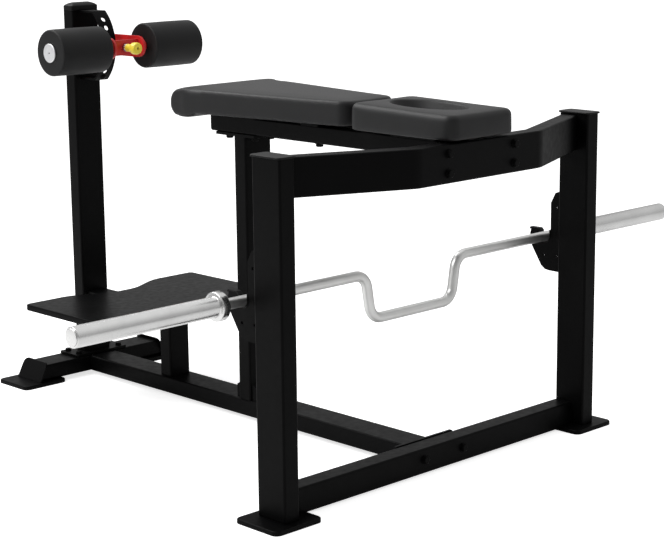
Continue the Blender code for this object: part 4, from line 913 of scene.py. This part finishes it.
class DELTOID_OT_stage(MachineOperator, bpy.types.Operator):
    """Pale floor, soft lights and the camera"""
    bl_idname = "deltoid.stage"
    bl_label = "Stage"

    def execute(self, context):
        settings = context.scene.deltoid_stage
        self.add_floor(context, settings)
        self.add_lights(context, settings)
        self.add_camera(context, settings)
        context.scene.view_settings.view_transform = "Standard"
        return {"FINISHED"}

    def add_floor(self, context, settings):
        bm = bmesh.new()
        bmesh.ops.create_grid(bm, x_segments=1, y_segments=1, size=30.0)
        mesh = bpy.data.meshes.new("floor")
        bm.to_mesh(mesh)
        bm.free()
        floor = bpy.data.objects.new("floor", mesh)
        context.scene.collection.objects.link(floor)
        material = bpy.data.materials.new("studio_floor")
        material.use_nodes = True
        nodes, links = material.node_tree.nodes, material.node_tree.links
        nodes.clear()
        output = nodes.new("ShaderNodeOutputMaterial")
        matt = nodes.new("ShaderNodeBsdfDiffuse")
        matt.inputs["Color"].default_value = (*settings.floor, 1.0)
        glow = nodes.new("ShaderNodeEmission")
        path = nodes.new("ShaderNodeLightPath")
        level = nodes.new("ShaderNodeMath")
        level.operation = "MULTIPLY"
        level.inputs[1].default_value = settings.glow
        links.new(path.outputs["Is Camera Ray"], level.inputs[0])
        links.new(level.outputs[0], glow.inputs["Strength"])
        both = nodes.new("ShaderNodeAddShader")
        links.new(matt.outputs[0], both.inputs[0])
        links.new(glow.outputs[0], both.inputs[1])
        links.new(both.outputs[0], output.inputs["Surface"])
        mesh.materials.append(material)

    def add_lights(self, context, settings):
        world = bpy.data.worlds.new("studio")
        world.use_nodes = True
        context.scene.world = world
        nodes, links = world.node_tree.nodes, world.node_tree.links
        nodes.clear()
        output = nodes.new("ShaderNodeOutputWorld")
        room = nodes.new("ShaderNodeBackground")
        room.inputs["Color"].default_value = (1.0, 1.0, 1.0, 1.0)
        place = nodes.new("ShaderNodeTexCoord").outputs["Generated"]
        parts = nodes.new("ShaderNodeSeparateXYZ")
        links.new(place, parts.inputs[0])
        towards = nodes.new("ShaderNodeVectorMath")
        towards.operation = "DOT_PRODUCT"
        towards.inputs[1].default_value = (-0.70, -0.71, 0.0)
        links.new(place, towards.inputs[0])
        both = nodes.new("ShaderNodeMath")
        both.operation = "MULTIPLY"
        for slot, (source, start, end, low, high) in enumerate((
                (parts.outputs["Z"], 0.0, 1.0, 0.8, settings.ceiling),
                (towards.outputs["Value"], 0.2, 1.0, 1.0, settings.front))):
            level = nodes.new("ShaderNodeMapRange")
            for key, value in (("From Min", start), ("From Max", end), ("To Min", low), ("To Max", high)):
                level.inputs[key].default_value = value
            links.new(source, level.inputs["Value"])
            links.new(level.outputs["Result"], both.inputs[slot])
        strength = nodes.new("ShaderNodeMath")
        strength.operation = "MULTIPLY"
        strength.inputs[1].default_value = settings.room
        links.new(both.outputs[0], strength.inputs[0])
        links.new(strength.outputs[0], room.inputs["Strength"])
        white = nodes.new("ShaderNodeBackground")
        white.inputs["Color"].default_value = (1.0, 1.0, 1.0, 1.0)
        path = nodes.new("ShaderNodeLightPath")
        mix = nodes.new("ShaderNodeMixShader")
        links.new(path.outputs["Is Camera Ray"], mix.inputs[0])
        links.new(room.outputs[0], mix.inputs[1])
        links.new(white.outputs[0], mix.inputs[2])
        links.new(mix.outputs[0], output.inputs["Surface"])
        for name, spot, aim, size, power in (
                ("key", (-0.8, 2.6, 4.2), (0.0, 0.0, 0.6), 2.6, settings.key),
                ("side", (-3.4, 0.8, 3.2), (0.0, 0.2, 0.6), 2.0, settings.fill)):
            lamp = bpy.data.lights.new(name, "AREA")
            lamp.shape = "SQUARE"
            lamp.size = size
            lamp.energy = power
            item = bpy.data.objects.new(name, lamp)
            item.location = spot
            item.rotation_euler = (Vector(aim) - Vector(spot)).to_track_quat("-Z", "Y").to_euler()
            context.scene.collection.objects.link(item)

    def add_camera(self, context, settings):
        turn, roll = math.radians(CAMERA_TURN), math.radians(CAMERA_ROLL)
        back = Vector(CAMERA_BACK).normalized()
        right = Vector((math.cos(turn), math.sin(turn), 0.0))
        up = back.cross(right)
        right, up = (right * math.cos(roll) + up * math.sin(roll), up * math.cos(roll) - right * math.sin(roll))
        lens = bpy.data.cameras.new("camera")
        lens.lens = settings.focal
        lens.sensor_width = 36.0
        lens.sensor_fit = "HORIZONTAL"
        lens.clip_end = 100.0
        camera = bpy.data.objects.new("camera", lens)
        place = Matrix((right, up, back)).transposed().to_4x4()
        place.translation = Vector(CAMERA_PLACE)
        camera.matrix_world = place
        context.scene.collection.objects.link(camera)
        context.scene.camera = camera


OPERATORS = (
    DELTOID_OT_frame, DELTOID_OT_fasteners, DELTOID_OT_mouldings, DELTOID_OT_step, DELTOID_OT_long_pad,
    DELTOID_OT_face_pad, DELTOID_OT_rollers, DELTOID_OT_roller_caps, DELTOID_OT_arm, DELTOID_OT_pull_pin,
    DELTOID_OT_bar, DELTOID_OT_sleeves, DELTOID_OT_stage,
)


class DELTOID_PT_panel(bpy.types.Panel):
    """Sidebar panel with every step of the machine"""
    bl_idname = "DELTOID_PT_panel"
    bl_label = "Rear deltoid machine"
    bl_space_type = "VIEW_3D"
    bl_region_type = "UI"
    bl_category = "Machine"

    def draw(self, context):
        for name, settings in SETTINGS:
            box = self.layout.box()
            box.label(text=settings.__doc__)
            group = getattr(context.scene, name)
            for key in settings.__annotations__:
                box.prop(group, key)
        for operator in OPERATORS:
            self.layout.operator(operator.bl_idname)


SETTINGS = (
    ("deltoid_frame", FrameSettings), ("deltoid_pads", PadSettings), ("deltoid_rollers", RollerSettings),
    ("deltoid_bar", BarSettings), ("deltoid_stage", StageSettings),
)
CLASSES = tuple(settings for _, settings in SETTINGS) + OPERATORS + (DELTOID_PT_panel,)


def register():
    """Add the classes and their settings."""
    for item in CLASSES:
        bpy.utils.register_class(item)
    for name, settings in SETTINGS:
        setattr(bpy.types.Scene, name, PointerProperty(type=settings))


def unregister():
    """Take the classes and their settings away."""
    for name, _ in SETTINGS:
        delattr(bpy.types.Scene, name)
    for item in reversed(CLASSES):
        bpy.utils.unregister_class(item)


def main():
    """Dress the machine and set the stage."""
    register()
    for operator in OPERATORS:
        group, name = operator.bl_idname.split(".")
        getattr(getattr(bpy.ops, group), name)()


if __name__ == "__main__":
    main()
